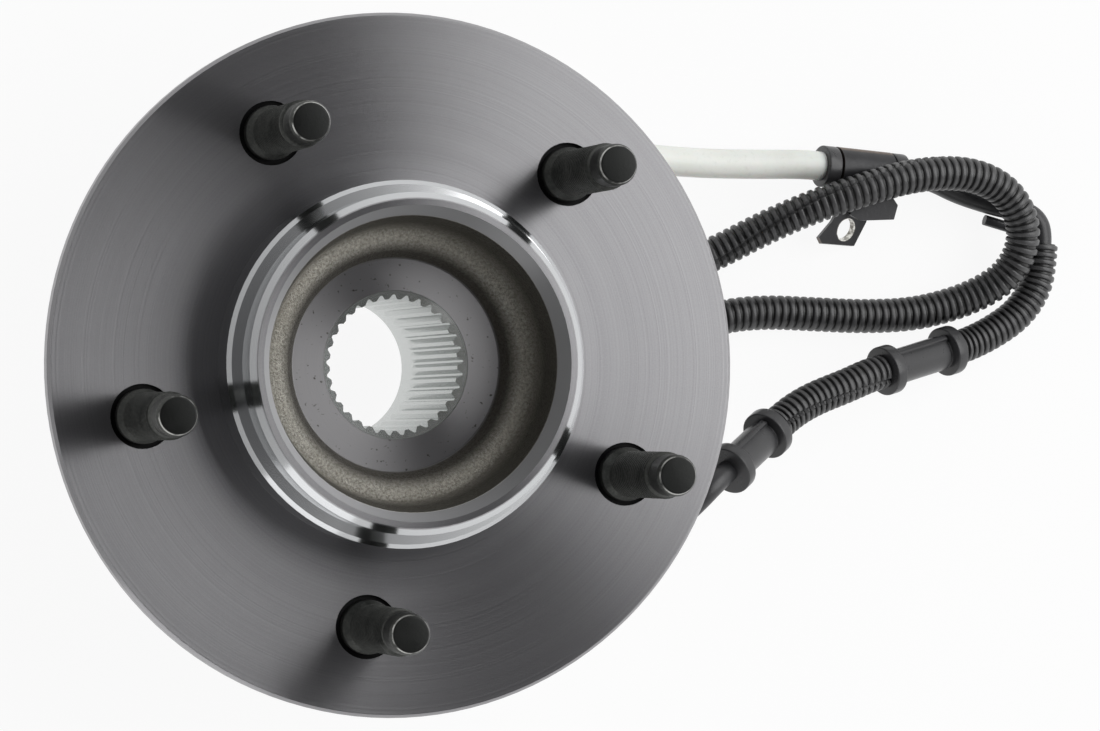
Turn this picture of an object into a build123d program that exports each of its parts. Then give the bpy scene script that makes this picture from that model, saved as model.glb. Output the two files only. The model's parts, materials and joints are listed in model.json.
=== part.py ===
"""A wheel hub bearing unit with its wheel speed sensor and sensor harness, in millimetres.

The spin axis is Z, with +Z towards the wheel. The origin lies on that axis, in the face that the
brake rotor seats on. The unit stands on the inboard nose of its outer ring, and the harness lies on
the same floor.
"""
from build123d import *
import math
import os

# Wheel flange
FLANGE_RADIUS = 90.5
FLANGE_THICKNESS = 9.5
RIM_WALL = 4.5
RIM_CHAMFER = 0.8
BACK_FLAT_RADIUS = 79.0

# Pilots and bowl
ROTOR_PILOT_RADIUS = 46.9
ROTOR_PILOT_LENGTH = 10.4
WHEEL_PILOT_RADIUS = 43.3
PILOT_HEIGHT = 22.6
PILOT_STEP = 2.2
PILOT_NOSE = 1.8
PILOT_LAND_INNER = 40.0
BOWL_CONE_RADIUS = 37.6
BOWL_CONE_DEPTH = 4.8
BOWL_WALL_FOOT = 34.9
BOWL_WALL_DEPTH = 17.2
BOWL_WALL_ROUND = 1.5
BOWL_BEAD_RADIUS = 30.8
BOWL_BEAD_DEPTH = 17.6
BOWL_BEAD_ROUND = 4.5
NUT_SEAT_RADIUS = 27.3
NUT_SEAT_DEPTH = 0.8

# Splined bore
SPLINE_TEETH = 33
SPLINE_MINOR_RADIUS = 16.95
SPLINE_MAJOR_RADIUS = 18.1
SPLINE_LEAD_RADIUS = 19.2
SPLINE_GAP_OPEN = 0.70
SPLINE_GAP_ROOT = 0.16
SPLINE_END = -50.5
PLAIN_BORE_RADIUS = 18.6
BORE_END_CHAMFER = 1.4

# Wheel studs
STUD_COUNT = 5
STUD_CIRCLE_DIAMETER = 135.0
STUD_FIRST_ANGLE = 43.76
STUD_RADIUS = 6.0
STUD_KNURL_RADIUS = 7.0
STUD_KNURL_TOP = 2.0
STUD_CONE = 1.5
THREAD_START = 4.4
THREAD_END = 36.5
THREAD_PITCH = 1.5
THREAD_DEPTH = 0.8
THREAD_CREST_SHARE = 0.2
THREAD_ROOT_SHARE = 0.15
STUD_GROOVE = 0.7
STUD_DOG_RADIUS = 4.5
STUD_DOG_CONE = 1.6
STUD_TIP = 44.5
STUD_HEAD_RADIUS = 9.5
STUD_HEAD_HEIGHT = 3.5
STUD_RELIEF_RADIUS = 8.25
STUD_RELIEF_DEPTH = 1.2

# Roller rows
ROLLER_COUNT = 18
ROLLER_TILT = 15.0
PITCH_RADIUS = 37.0
ROLLER_RADIUS = 5.2
ROLLER_LENGTH = 13.0
OUTBOARD_ROW = -25.0
INBOARD_ROW = -54.5
ROW_CLEARANCE = 0.03
RIB_GAP = 0.15
SMALL_RIB_GAP = 0.45
RIB_SHARE = 0.58
CAGE_INNER = 0.8
CAGE_WALL = 1.4
CAGE_RIM = 1.5
POCKET_CLEARANCE = 0.15

# Spindle
SEAL_LAND_RADIUS = 40.0
SEAL_LAND_END = -15.8
SMALL_RIB_HEIGHT = 0.9
TONE_SEAT_RADIUS = 30.0
TONE_SEAT_TOP = -33.0
RING_SEAT_RADIUS = 25.0
RING_SEAT_TOP = -45.5
INNER_RING_END = -66.5
CLINCH_LIP = 3.0
CLINCH_HEIGHT = 1.4
RING_LAND_RADIUS = 38.0
RING_LAND_TOP = -63.2
TONE_TEETH = 44
TONE_WHEEL_RADIUS = 36.3
TONE_DEPTH = 1.8
TONE_TOP = -35.0
TONE_BOTTOM = -44.0
TONE_TOOTH_SHARE = 0.5

# Outer ring
HOUSING_TOP = -11.5
HOUSING_BOTTOM = -68.5
HOUSING_RADIUS = 53.0
HOUSING_CHAMFER = 0.8
SEAL_BORE_RADIUS = 46.5
MIDDLE_BORE_RADIUS = 39.2
OUTBOARD_SEAL_DEPTH = 7.9
INBOARD_SEAL_DEPTH = 8.4
KNUCKLE_FACE = -56.0
NOSE_WALL = 3.5
EAR_COUNT = 3
EAR_FIRST_ANGLE = 45.0
EAR_CIRCLE_DIAMETER = 120.0
EAR_RADIUS = 12.0
EAR_WEB_RADIUS = 42.0
EAR_THICKNESS = 12.0
EAR_HOLE_RADIUS = 5.1
EAR_HOLE_CHAMFER = 1.0
EAR_ROOT_FILLET = 5.0
GROOVE_OFFSET = 0.8
GROOVE_WIDTH = 2.8
GROOVE_DEPTH = 2.2
O_RING_SHY = 0.04

# Seals
SEAL_SHEET = 0.8
SEAL_RUN_GAP = 0.05
OUTBOARD_CASE_SET = 0.4
INBOARD_CASE_SET = 1.2
OUTBOARD_SLINGER_SHY = 0.5
OUTBOARD_SLINGER_LEG = 5.0
INBOARD_SLINGER_SHY = 1.5
INBOARD_SLINGER_LEG = 3.1
SEAL_CASE_DEPTH = 4.4
LIP_HEIGHT = 2.35
LIP_THICKNESS = 1.6

# Speed sensor
SENSOR_ANGLE = 80.0
SENSOR_HEIGHT = -39.5
SENSOR_AIR_GAP = 0.9
SENSOR_HOLE_RADIUS = 5.5
SENSOR_STEM_RADIUS = 5.4
SENSOR_PAD_RISE = 4.0
SENSOR_PAD_HEIGHT = 10.0
SENSOR_PAD_RADIUS = 10.0
SENSOR_EAR_RADIUS = 6.5
SENSOR_EAR_OFFSET = 16.0
SENSOR_PLATE = 3.5
SENSOR_HEAD_RADIUS = 8.5
SENSOR_HEAD_HEIGHT = 11.0
SENSOR_HEAD_ROUND = 2.0
SENSOR_NOSE_RISE = 5.0
SENSOR_NOSE_RADIUS = 5.6
SENSOR_NOSE_END = 14.0
SENSOR_POLE_RADIUS = 2.4
SENSOR_POLE_LENGTH = 6.5
SENSOR_MAGNET_RADIUS = 2.9
SENSOR_MAGNET_LENGTH = 5.0
SENSOR_RING_DROP = 5.5
SENSOR_RING_SECTION = 0.75
SENSOR_RING_GROOVE = 2.0
SCREW_RADIUS = 3.0
SCREW_CLEARANCE = 0.3
SCREW_DEPTH = 9.0
SCREW_HEX = 10.0
HEX_SIDES = 6
SCREW_HEAD = 4.6
SCREW_WASHER_RADIUS = 6.3
SCREW_WASHER = 1.2
BOOT_LENGTH = 16.0
BOOT_TIP_RADIUS = 4.6
BOOT_RIBS = 3
BOOT_RIB_DEPTH = 0.7
BOOT_RIB_SHARE = 0.5

# Harness
SLEEVE_DIAMETER = 8.1
CABLE_DIAMETER = 6.0
LOOM_DIAMETER = 9.6
SPOOL_FLANGE_RADIUS = 6.9
SPOOL_FLANGE = 3.5
SPOOL_BODY_RADIUS = 4.9
SLEEVE_SPOOL_FLANGE_RADIUS = 5.8
SLEEVE_SPOOL_BODY_RADIUS = 4.65
SLEEVE_SPOOL_FLANGE = 4.0
ARC_SHARE = 0.45
CABLE_RUN = 4.0
LOOM_RUN = 6.0

# Where the harness lies, as points chosen by hand; each route lists its inner points only
SLEEVE_SPOOL_START = (140.1, 48.1, -58.7)
SLEEVE_SPOOL_END = (165.4, 44.7, -62.7)
MIDDLE_SPOOL_START = (176.5, -5.0, -60.0)
MIDDLE_SPOOL_END = (151.9, -9.9, -51.3)
END_SPOOL_START = (114.7, -23.9, -41.0)
END_SPOOL_END = (97.6, -33.9, -29.5)
SLEEVE_ROUTE = [
    (60.0, 55.4, -41.2), (80.0, 52.6, -46.0), (101.0, 50.3, -52.5), (121.0, 49.3, -56.6),
]
LOOM_BEND_START = (206.8, 23.2, -63.7)
LINK_ROUTE = [
    (175.5, 42.6, -64.4), (182.8, 38.9, -65.4), (190.8, 36.0, -65.5), (196.5, 34.2, -65.5),
    (202.2, 33.0, -65.2), (205.7, 30.9, -64.4),
]
LOOM_BEND_ROUTE = [
    (206.2, 18.2, -63.7), (204.4, 10.9, -63.7), (198.7, 3.8, -63.7), (190.1, -1.0, -63.2),
]
LOOM_SHORT_ROUTE = [(140.3, -13.1, -48.2), (130.0, -16.0, -46.6), (123.0, -18.9, -44.6)]
LOOM_LOOP_END = (99.0, 5.6, -63.7)
CABLE_ROUTE = [
    (87.8, -41.2, -26.4), (83.0, -46.2, -31.0), (79.8, -50.0, -40.5), (75.8, -52.0, -51.0),
    (69.4, -50.8, -60.4), (62.8, -43.6, -65.2), (60.2, -31.6, -65.5), (61.8, -18.6, -65.5),
    (69.4, -9.0, -65.5), (79.4, -0.8, -65.0),
]
CONNECTOR_REAR = (88.0, 20.5, -61.0)
LOOM_LOOP_ROUTE = [
    (108.5, 25.6, -59.7), (121.6, 31.6, -57.0), (134.7, 36.7, -52.9), (149.1, 40.7, -50.6),
    (163.5, 43.9, -50.9), (177.2, 44.4, -52.4), (187.0, 42.2, -53.6), (194.5, 37.3, -54.8),
    (198.9, 29.4, -56.2), (198.4, 21.5, -57.8), (194.3, 14.7, -60.0), (187.2, 10.4, -62.2),
    (178.0, 7.4, -63.5), (166.0, 5.4, -63.7), (151.0, 5.7, -63.7), (136.5, 7.2, -63.7),
    (122.5, 8.6, -63.7), (109.5, 8.0, -63.7),
]

# Harness bracket and splice cap
BAND_WALL = 1.2
BAND_MARGIN = 0.6
PLATE_THICKNESS = 2.0
PLATE_TILT = 30.0
PLATE_TURN = -45.0
PLATE_HOLE_RADIUS = 3.2
PLATE_HOLE = (147.7, 30.5, -63.8)
PLATE_OUTLINE = [
    (138.8, 28.4), (140.0, 26.7), (151.4, 25.6), (155.0, 32.0), (158.6, 42.6), (149.6, 43.4),
    (143.0, 32.6),
]
TAB_OUTLINE = [
    (148.0, 34.2), (151.0, 32.4), (160.9, 32.2), (162.3, 36.1), (158.4, 42.6), (151.0, 43.2),
]
TAB_TOP = -58.6
TAB_THICKNESS = 1.5
CUTTER_REACH = 40.0
CAP_START = (191.4, 31.0, -67.0)
CAP_END = (201.4, 27.6, -67.0)
CAP_RADIUS = 1.5

# Connector
CONNECTOR_LENGTH = 32.0
CONNECTOR_WIDTH = 19.0
CONNECTOR_HEIGHT = 15.0
CONNECTOR_ROUND = 3.0
CONNECTOR_CAP_LENGTH = 6.0
CONNECTOR_CAP_RADIUS = 6.2
CONNECTOR_WALL = 2.2
SOCKET_DEPTH = 14.0
SOCKET_ROUND = 2.0
PIN_WIDTH = 2.0
PIN_THICKNESS = 0.8
PIN_REACH = 10.0
PIN_ROOT = 5.0
PIN_SPREAD = 3.0
LATCH_START = 6.5
LATCH_LENGTH = 12.0
LATCH_WIDTH = 7.0
LATCH_HEIGHT = 2.2
SEAL_MAT = 1.6
LOCK_LENGTH = 7.0
LOCK_HEIGHT = 1.5
LOCK_WIDTH = 9.0

# Which way a row, seal or slinger faces
OUTBOARD = 1
INBOARD = -1

# How close two lengths are taken as equal, and how far a cutter runs past what it cuts
NEAR = 0.01
CUT_MARGIN = 1.0

knuckle_pilot_radius = SEAL_BORE_RADIUS + NOSE_WALL
groove_floor_radius = knuckle_pilot_radius - GROOVE_DEPTH
pilot_o_ring_section = (GROOVE_DEPTH - O_RING_SHY) / 2
sensor_pad_top = HOUSING_RADIUS + SENSOR_PAD_RISE
sensor_seat = sensor_pad_top + SENSOR_PLATE
sensor_nose_level = sensor_seat + SENSOR_NOSE_RISE

tilt = math.radians(ROLLER_TILT)
apex_distance = PITCH_RADIUS / math.sin(tilt)
roller_taper = ROLLER_RADIUS / apex_distance
row_start = apex_distance - ROLLER_LENGTH / 2
row_end = apex_distance + ROLLER_LENGTH / 2


def polar(radius, angle):
    """The point at a radius and an angle in degrees about the spin axis."""
    return radius * math.cos(math.radians(angle)), radius * math.sin(math.radians(angle))


def turned(outline, rounds=None):
    """The solid that an outline of (radius, height) points sweeps about the spin axis.

    rounds gives the corners of the outline that are rounded, each with its radius.
    """
    face = make_face(Polyline(*[(radius, 0, height) for radius, height in outline], close=True))
    for (radius, height), size in (rounds or {}).items():
        place = Vector(radius, 0, height)
        corners = [vertex for vertex in face.vertices() if (Vector(vertex) - place).length < NEAR]
        face = fillet(corners, size)
    return revolve(face, Axis.Z)


def pillar(radius, low, high):
    """A round bar about the local Z between two heights."""
    return Pos(0, 0, (low + high) / 2) * Cylinder(radius, high - low)


def along(start, end):
    """A plane at one point whose Z runs towards another, and the distance between the two."""
    direction = Vector(*end) - Vector(*start)
    return Plane(origin=start, z_dir=direction), direction.length


def row_point(row, side, distance, offset):
    """Radius and height of a point given along a roller's axis from the apex and square to it."""
    radius = distance * math.sin(tilt) + offset * math.cos(tilt)
    rise = distance * math.cos(tilt) - offset * math.sin(tilt) - apex_distance * math.cos(tilt)
    return radius, row + side * rise


def raceway(row, side, inner):
    """The large and small end of a raceway, clear of the rollers by the running clearance."""
    sign = -1 if inner else 1
    points = []
    for distance in (row_end + RIB_GAP, row_start - SMALL_RIB_GAP):
        offset = sign * (distance * roller_taper + ROW_CLEARANCE)
        points.append(row_point(row, side, distance, offset))
    return points


def rib_top(row, side):
    """The top corner of the rib that the large roller ends run against."""
    distance = row_end + RIB_GAP
    return row_point(row, side, distance, -distance * roller_taper * (1 - RIB_SHARE))


def pitch_planes(row, side):
    """For each roller of a row, a plane whose X is the roller's axis and whose Z points outwards."""
    planes = []
    for index in range(ROLLER_COUNT):
        angle = 360 * index / ROLLER_COUNT
        east, north = polar(1, angle)
        axis = (math.sin(tilt) * east, math.sin(tilt) * north, side * math.cos(tilt))
        outward = (math.cos(tilt) * east, math.cos(tilt) * north, -side * math.sin(tilt))
        origin = (PITCH_RADIUS * east, PITCH_RADIUS * north, row)
        planes.append(Plane(origin=origin, x_dir=axis, z_dir=outward))
    return planes


def spline_cutter():
    """The gaps between the spline teeth, as one tool that runs the length of the bore."""
    points = []
    step = 360 / SPLINE_TEETH
    inner = SPLINE_MINOR_RADIUS - CUT_MARGIN
    for index in range(SPLINE_TEETH):
        middle = step * index
        open_half = step * SPLINE_GAP_OPEN / 2
        root_half = step * SPLINE_GAP_ROOT / 2
        points.append(polar(inner, middle - open_half))
        points.append(polar(SPLINE_MINOR_RADIUS, middle - open_half))
        points.append(polar(SPLINE_MAJOR_RADIUS, middle - root_half))
        points.append(polar(SPLINE_MAJOR_RADIUS, middle + root_half))
        points.append(polar(SPLINE_MINOR_RADIUS, middle + open_half))
        points.append(polar(inner, middle + open_half))
    profile = make_face(Polyline(*points, close=True))
    reach = SPLINE_MAJOR_RADIUS - SPLINE_MINOR_RADIUS
    top = -NUT_SEAT_DEPTH + reach
    bottom = SPLINE_END - 2 * reach
    return Pos(0, 0, bottom) * extrude(profile, top - bottom)


def stud_places():
    """Centres of the wheel studs on their circle."""
    step = 360 / STUD_COUNT
    return [polar(STUD_CIRCLE_DIAMETER / 2, STUD_FIRST_ANGLE + step * index) for index in range(STUD_COUNT)]


def make_hub():
    """Flange, pilots, bowl, splined bore and spindle, with the outboard raceway ground on it."""
    race_large, race_small = raceway(OUTBOARD_ROW, OUTBOARD, True)
    rib = rib_top(OUTBOARD_ROW, OUTBOARD)
    clinch_end = INNER_RING_END - CLINCH_HEIGHT
    clinch_radius = RING_SEAT_RADIUS + CLINCH_LIP
    lead = SPLINE_LEAD_RADIUS - SPLINE_MINOR_RADIUS
    end_step = PLAIN_BORE_RADIUS - SPLINE_MINOR_RADIUS
    pilot_top = ROTOR_PILOT_LENGTH + PILOT_STEP
    bead = (BOWL_BEAD_RADIUS, PILOT_HEIGHT - BOWL_BEAD_DEPTH)
    wall_foot = (BOWL_WALL_FOOT, PILOT_HEIGHT - BOWL_WALL_DEPTH)
    outline = [
        (SPLINE_MINOR_RADIUS, -NUT_SEAT_DEPTH - lead),
        (SPLINE_LEAD_RADIUS, -NUT_SEAT_DEPTH),
        (NUT_SEAT_RADIUS, -NUT_SEAT_DEPTH),
        bead,
        wall_foot,
        (BOWL_CONE_RADIUS, PILOT_HEIGHT - BOWL_CONE_DEPTH),
        (PILOT_LAND_INNER, PILOT_HEIGHT),
        (WHEEL_PILOT_RADIUS - PILOT_NOSE, PILOT_HEIGHT),
        (WHEEL_PILOT_RADIUS, PILOT_HEIGHT - PILOT_NOSE),
        (WHEEL_PILOT_RADIUS, pilot_top),
        (ROTOR_PILOT_RADIUS - PILOT_STEP / 2, ROTOR_PILOT_LENGTH + PILOT_STEP / 2),
        (ROTOR_PILOT_RADIUS, ROTOR_PILOT_LENGTH),
        (ROTOR_PILOT_RADIUS, 0),
        (FLANGE_RADIUS - RIM_CHAMFER, 0),
        (FLANGE_RADIUS, -RIM_CHAMFER),
        (FLANGE_RADIUS, -RIM_WALL),
        (BACK_FLAT_RADIUS, -FLANGE_THICKNESS),
        (SEAL_LAND_RADIUS, -FLANGE_THICKNESS),
        (SEAL_LAND_RADIUS, SEAL_LAND_END),
        (rib[0], SEAL_LAND_END),
        rib,
        race_large,
        race_small,
        (race_small[0] + SMALL_RIB_HEIGHT, race_small[1]),
        (race_small[0] + SMALL_RIB_HEIGHT, TONE_SEAT_TOP),
        (TONE_SEAT_RADIUS, TONE_SEAT_TOP),
        (TONE_SEAT_RADIUS, RING_SEAT_TOP),
        (RING_SEAT_RADIUS, RING_SEAT_TOP),
        (RING_SEAT_RADIUS, INNER_RING_END),
        (clinch_radius, INNER_RING_END),
        (clinch_radius - CLINCH_HEIGHT, clinch_end),
        (PLAIN_BORE_RADIUS + BORE_END_CHAMFER, clinch_end),
        (PLAIN_BORE_RADIUS, clinch_end + BORE_END_CHAMFER),
        (PLAIN_BORE_RADIUS, SPLINE_END - end_step),
        (SPLINE_MINOR_RADIUS, SPLINE_END),
    ]
    hub = turned(outline, {bead: BOWL_BEAD_ROUND, wall_foot: BOWL_WALL_ROUND}) - spline_cutter()
    for place in stud_places():
        hub -= Pos(*place, -FLANGE_THICKNESS / 2) * Cylinder(STUD_KNURL_RADIUS, 2 * FLANGE_THICKNESS)
        hub -= Pos(*place, 0) * Cylinder(STUD_RELIEF_RADIUS, 2 * STUD_RELIEF_DEPTH)
    return hub


def make_studs():
    """Five pressed-in wheel studs with thread, thread end groove and dog point."""
    outline = [
        (0, -FLANGE_THICKNESS - STUD_HEAD_HEIGHT),
        (STUD_HEAD_RADIUS, -FLANGE_THICKNESS - STUD_HEAD_HEIGHT),
        (STUD_HEAD_RADIUS, -FLANGE_THICKNESS),
        (STUD_KNURL_RADIUS, -FLANGE_THICKNESS),
        (STUD_KNURL_RADIUS, STUD_KNURL_TOP),
        (STUD_RADIUS, STUD_KNURL_TOP + STUD_CONE),
    ]
    outline += thread_outline()
    outline += [
        (STUD_RADIUS, THREAD_END),
        (STUD_RADIUS - STUD_GROOVE, THREAD_END + STUD_GROOVE),
        (STUD_RADIUS - STUD_GROOVE, STUD_TIP - STUD_DOG_CONE),
        (STUD_DOG_RADIUS, STUD_TIP),
        (0, STUD_TIP),
    ]
    stud = turned(outline)
    return [Pos(*place, 0) * stud for place in stud_places()]


def thread_outline():
    """The thread of a stud, drawn as rings at its pitch and not as a helix."""
    points = []
    count = int((THREAD_END - THREAD_START) / THREAD_PITCH)
    flank = (1 - THREAD_CREST_SHARE - THREAD_ROOT_SHARE) / 2 * THREAD_PITCH
    root = THREAD_ROOT_SHARE * THREAD_PITCH
    for index in range(count):
        start = THREAD_START + index * THREAD_PITCH
        points.append((STUD_RADIUS, start))
        points.append((STUD_RADIUS - THREAD_DEPTH, start + flank))
        points.append((STUD_RADIUS - THREAD_DEPTH, start + flank + root))
        points.append((STUD_RADIUS, start + 2 * flank + root))
    return points


def make_inner_ring():
    """The inboard inner ring, pressed on the spindle and held by its rolled end."""
    race_large, race_small = raceway(INBOARD_ROW, INBOARD, True)
    rib = rib_top(INBOARD_ROW, INBOARD)
    outline = [
        (RING_SEAT_RADIUS, RING_SEAT_TOP),
        (race_small[0] + SMALL_RIB_HEIGHT, RING_SEAT_TOP),
        (race_small[0] + SMALL_RIB_HEIGHT, race_small[1]),
        race_small,
        race_large,
        rib,
        (rib[0], RING_LAND_TOP),
        (RING_LAND_RADIUS, RING_LAND_TOP),
        (RING_LAND_RADIUS, INNER_RING_END),
        (RING_SEAT_RADIUS, INNER_RING_END),
    ]
    return turned(outline)


def make_tone_wheel():
    """The toothed ring that the speed sensor reads, pressed on the spindle between the rows."""
    points = []
    step = 360 / TONE_TEETH
    half = step * TONE_TOOTH_SHARE / 2
    for index in range(TONE_TEETH):
        middle = step * index
        points.append(polar(TONE_WHEEL_RADIUS - TONE_DEPTH, middle - half))
        points.append(polar(TONE_WHEEL_RADIUS, middle - half))
        points.append(polar(TONE_WHEEL_RADIUS, middle + half))
        points.append(polar(TONE_WHEEL_RADIUS - TONE_DEPTH, middle + half))
    width = TONE_TOP - TONE_BOTTOM
    ring = extrude(make_face(Polyline(*points, close=True)) - Circle(TONE_SEAT_RADIUS), width)
    return Pos(0, 0, TONE_BOTTOM) * ring


def make_rollers(row, side):
    """One row of tapered rollers."""
    small = row_start * roller_taper
    large = row_end * roller_taper
    rollers = []
    for plane in pitch_planes(row, side):
        axis = Plane(origin=plane.origin, z_dir=plane.x_dir)
        rollers.append(axis * Cone(small, large, ROLLER_LENGTH))
    return rollers


def make_cage(row, side):
    """The pressed sheet cage that spaces a row, a cone with one tapered pocket for each roller."""
    corners = [
        (row_start - CAGE_RIM, CAGE_INNER), (row_end + CAGE_RIM, CAGE_INNER),
        (row_end + CAGE_RIM, CAGE_INNER + CAGE_WALL), (row_start - CAGE_RIM, CAGE_INNER + CAGE_WALL),
    ]
    shell = turned([row_point(row, side, distance, offset) for distance, offset in corners])
    low = -ROLLER_LENGTH / 2 - POCKET_CLEARANCE
    high = ROLLER_LENGTH / 2 + POCKET_CLEARANCE
    low_half = row_start * roller_taper + POCKET_CLEARANCE
    high_half = row_end * roller_taper + POCKET_CLEARANCE
    outline = [(low, -low_half), (high, -high_half), (high, high_half), (low, low_half)]
    pocket = extrude(make_face(Polyline(*outline, close=True)), CAGE_INNER + 2 * CAGE_WALL)
    for plane in pitch_planes(row, side):
        shell -= plane * pocket
    return shell


def sensor_plane():
    """A plane on the sensor's axis: Z runs outwards through it, X towards its cable outlet."""
    east, north = polar(1, SENSOR_ANGLE)
    return Plane(origin=(0, 0, SENSOR_HEIGHT), x_dir=(north, -east, 0), z_dir=(east, north, 0))


def sensor_pad():
    """The outline of the pad and plate that the sensor and its screw sit on."""
    seat = Circle(SENSOR_PAD_RADIUS)
    ear = Pos(-SENSOR_EAR_OFFSET, 0) * Circle(SENSOR_EAR_RADIUS)
    return make_hull(seat.edges() + ear.edges())


def ear_outline(angle):
    """One bolting ear with its webs, drawn about the spin axis."""
    tip = Pos(EAR_CIRCLE_DIAMETER / 2, 0) * Circle(EAR_RADIUS)
    return Rot(0, 0, angle) * make_hull(Circle(EAR_WEB_RADIUS).edges() + tip.edges())


def make_outer_ring():
    """The outer ring with both raceways, three bolting ears, knuckle pilot and sensor pad."""
    outboard_large, outboard_small = raceway(OUTBOARD_ROW, OUTBOARD, False)
    inboard_large, inboard_small = raceway(INBOARD_ROW, INBOARD, False)
    groove_top = KNUCKLE_FACE - GROOVE_OFFSET
    bore = [
        (0, HOUSING_TOP + CUT_MARGIN),
        (SEAL_BORE_RADIUS, HOUSING_TOP + CUT_MARGIN),
        (SEAL_BORE_RADIUS, HOUSING_TOP - OUTBOARD_SEAL_DEPTH),
        (outboard_large[0], HOUSING_TOP - OUTBOARD_SEAL_DEPTH),
        outboard_large,
        outboard_small,
        (MIDDLE_BORE_RADIUS, outboard_small[1]),
        (MIDDLE_BORE_RADIUS, inboard_small[1]),
        inboard_small,
        inboard_large,
        (inboard_large[0], HOUSING_BOTTOM + INBOARD_SEAL_DEPTH),
        (SEAL_BORE_RADIUS, HOUSING_BOTTOM + INBOARD_SEAL_DEPTH),
        (SEAL_BORE_RADIUS, HOUSING_BOTTOM - CUT_MARGIN),
        (0, HOUSING_BOTTOM - CUT_MARGIN),
    ]
    body = turned([
        (0, HOUSING_TOP), (HOUSING_RADIUS - HOUSING_CHAMFER, HOUSING_TOP),
        (HOUSING_RADIUS, HOUSING_TOP - HOUSING_CHAMFER), (HOUSING_RADIUS, KNUCKLE_FACE),
        (0, KNUCKLE_FACE),
    ])
    step = 360 / EAR_COUNT
    web = Circle(HOUSING_RADIUS)
    for index in range(EAR_COUNT):
        web += ear_outline(EAR_FIRST_ANGLE + step * index)
    web = fillet([corner for corner in web.vertices() if concave(corner)], EAR_ROOT_FILLET)
    body += Pos(0, 0, KNUCKLE_FACE) * extrude(web, EAR_THICKNESS)
    body += turned([
        (0, KNUCKLE_FACE), (knuckle_pilot_radius, KNUCKLE_FACE), (knuckle_pilot_radius, groove_top),
        (groove_floor_radius, groove_top), (groove_floor_radius, groove_top - GROOVE_WIDTH),
        (knuckle_pilot_radius, groove_top - GROOVE_WIDTH),
        (knuckle_pilot_radius, HOUSING_BOTTOM + HOUSING_CHAMFER),
        (knuckle_pilot_radius - HOUSING_CHAMFER, HOUSING_BOTTOM), (0, HOUSING_BOTTOM),
    ])
    pad = Pos(0, 0, sensor_pad_top - SENSOR_PAD_HEIGHT) * extrude(sensor_pad(), SENSOR_PAD_HEIGHT)
    body += sensor_plane() * pad
    body -= turned(bore)
    sensor_hole = Cylinder(SENSOR_HOLE_RADIUS, sensor_pad_top)
    body -= sensor_plane() * (Pos(0, 0, sensor_pad_top) * sensor_hole)
    screw_hole = Cylinder(SCREW_RADIUS, 2 * SCREW_DEPTH)
    body -= sensor_plane() * (Pos(-SENSOR_EAR_OFFSET, 0, sensor_pad_top) * screw_hole)
    hole = Cylinder(EAR_HOLE_RADIUS, 2 * EAR_THICKNESS + EAR_HOLE_CHAMFER)
    wide = EAR_HOLE_RADIUS + EAR_HOLE_CHAMFER
    narrow = EAR_HOLE_RADIUS - EAR_HOLE_CHAMFER
    lead = Cone(wide, narrow, 2 * EAR_HOLE_CHAMFER)
    for index in range(EAR_COUNT):
        place = polar(EAR_CIRCLE_DIAMETER / 2, EAR_FIRST_ANGLE + step * index)
        body -= Pos(*place, KNUCKLE_FACE) * (hole + lead)
    return body


def concave(corner):
    """Whether a corner of the ear outline lies on the ring's own circle."""
    return abs(Vector(corner.X, corner.Y, 0).length - HOUSING_RADIUS) < NEAR


def make_slinger(land, seat, side, reach, leg_length):
    """An L-shaped ring pressed on a land, its leg along the axis and its disc outside the seal."""
    leg = land + SEAL_SHEET
    disc_end = seat - side * SEAL_SHEET
    leg_end = seat - side * leg_length
    outline = [
        (land, seat), (reach, seat), (reach, disc_end), (leg, disc_end), (leg, leg_end), (land, leg_end),
    ]
    return turned(outline)


def lip_run(land):
    """The radius at which a seal lip runs on the slinger that is pressed on a land."""
    return land + SEAL_SHEET + SEAL_RUN_GAP


def make_seal_case(top, side, land):
    """The pressed steel case of a seal, with its wall in the outer ring's bore."""
    deep = top - side * SEAL_CASE_DEPTH
    wall = SEAL_BORE_RADIUS - SEAL_SHEET
    edge = lip_run(land) + LIP_HEIGHT
    outline = [
        (SEAL_BORE_RADIUS, top), (SEAL_BORE_RADIUS, deep), (edge, deep),
        (edge, deep + side * SEAL_SHEET), (wall, deep + side * SEAL_SHEET), (wall, top),
    ]
    return turned(outline)


def make_seal_lip(top, side, land):
    """The rubber lip bonded to the inner edge of a seal case, running on the slinger's leg."""
    deep = top - side * SEAL_CASE_DEPTH
    run = lip_run(land)
    edge = run + LIP_HEIGHT
    outline = [
        (edge, deep), (edge, deep + side * SEAL_SHEET),
        (edge - SEAL_SHEET, deep + side * (SEAL_SHEET + LIP_THICKNESS)),
        (run + SEAL_SHEET, deep + side * (SEAL_SHEET + LIP_THICKNESS)),
        (run, deep + side * LIP_THICKNESS), (run + SEAL_SHEET / 2, deep),
    ]
    return turned(outline)


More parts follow.
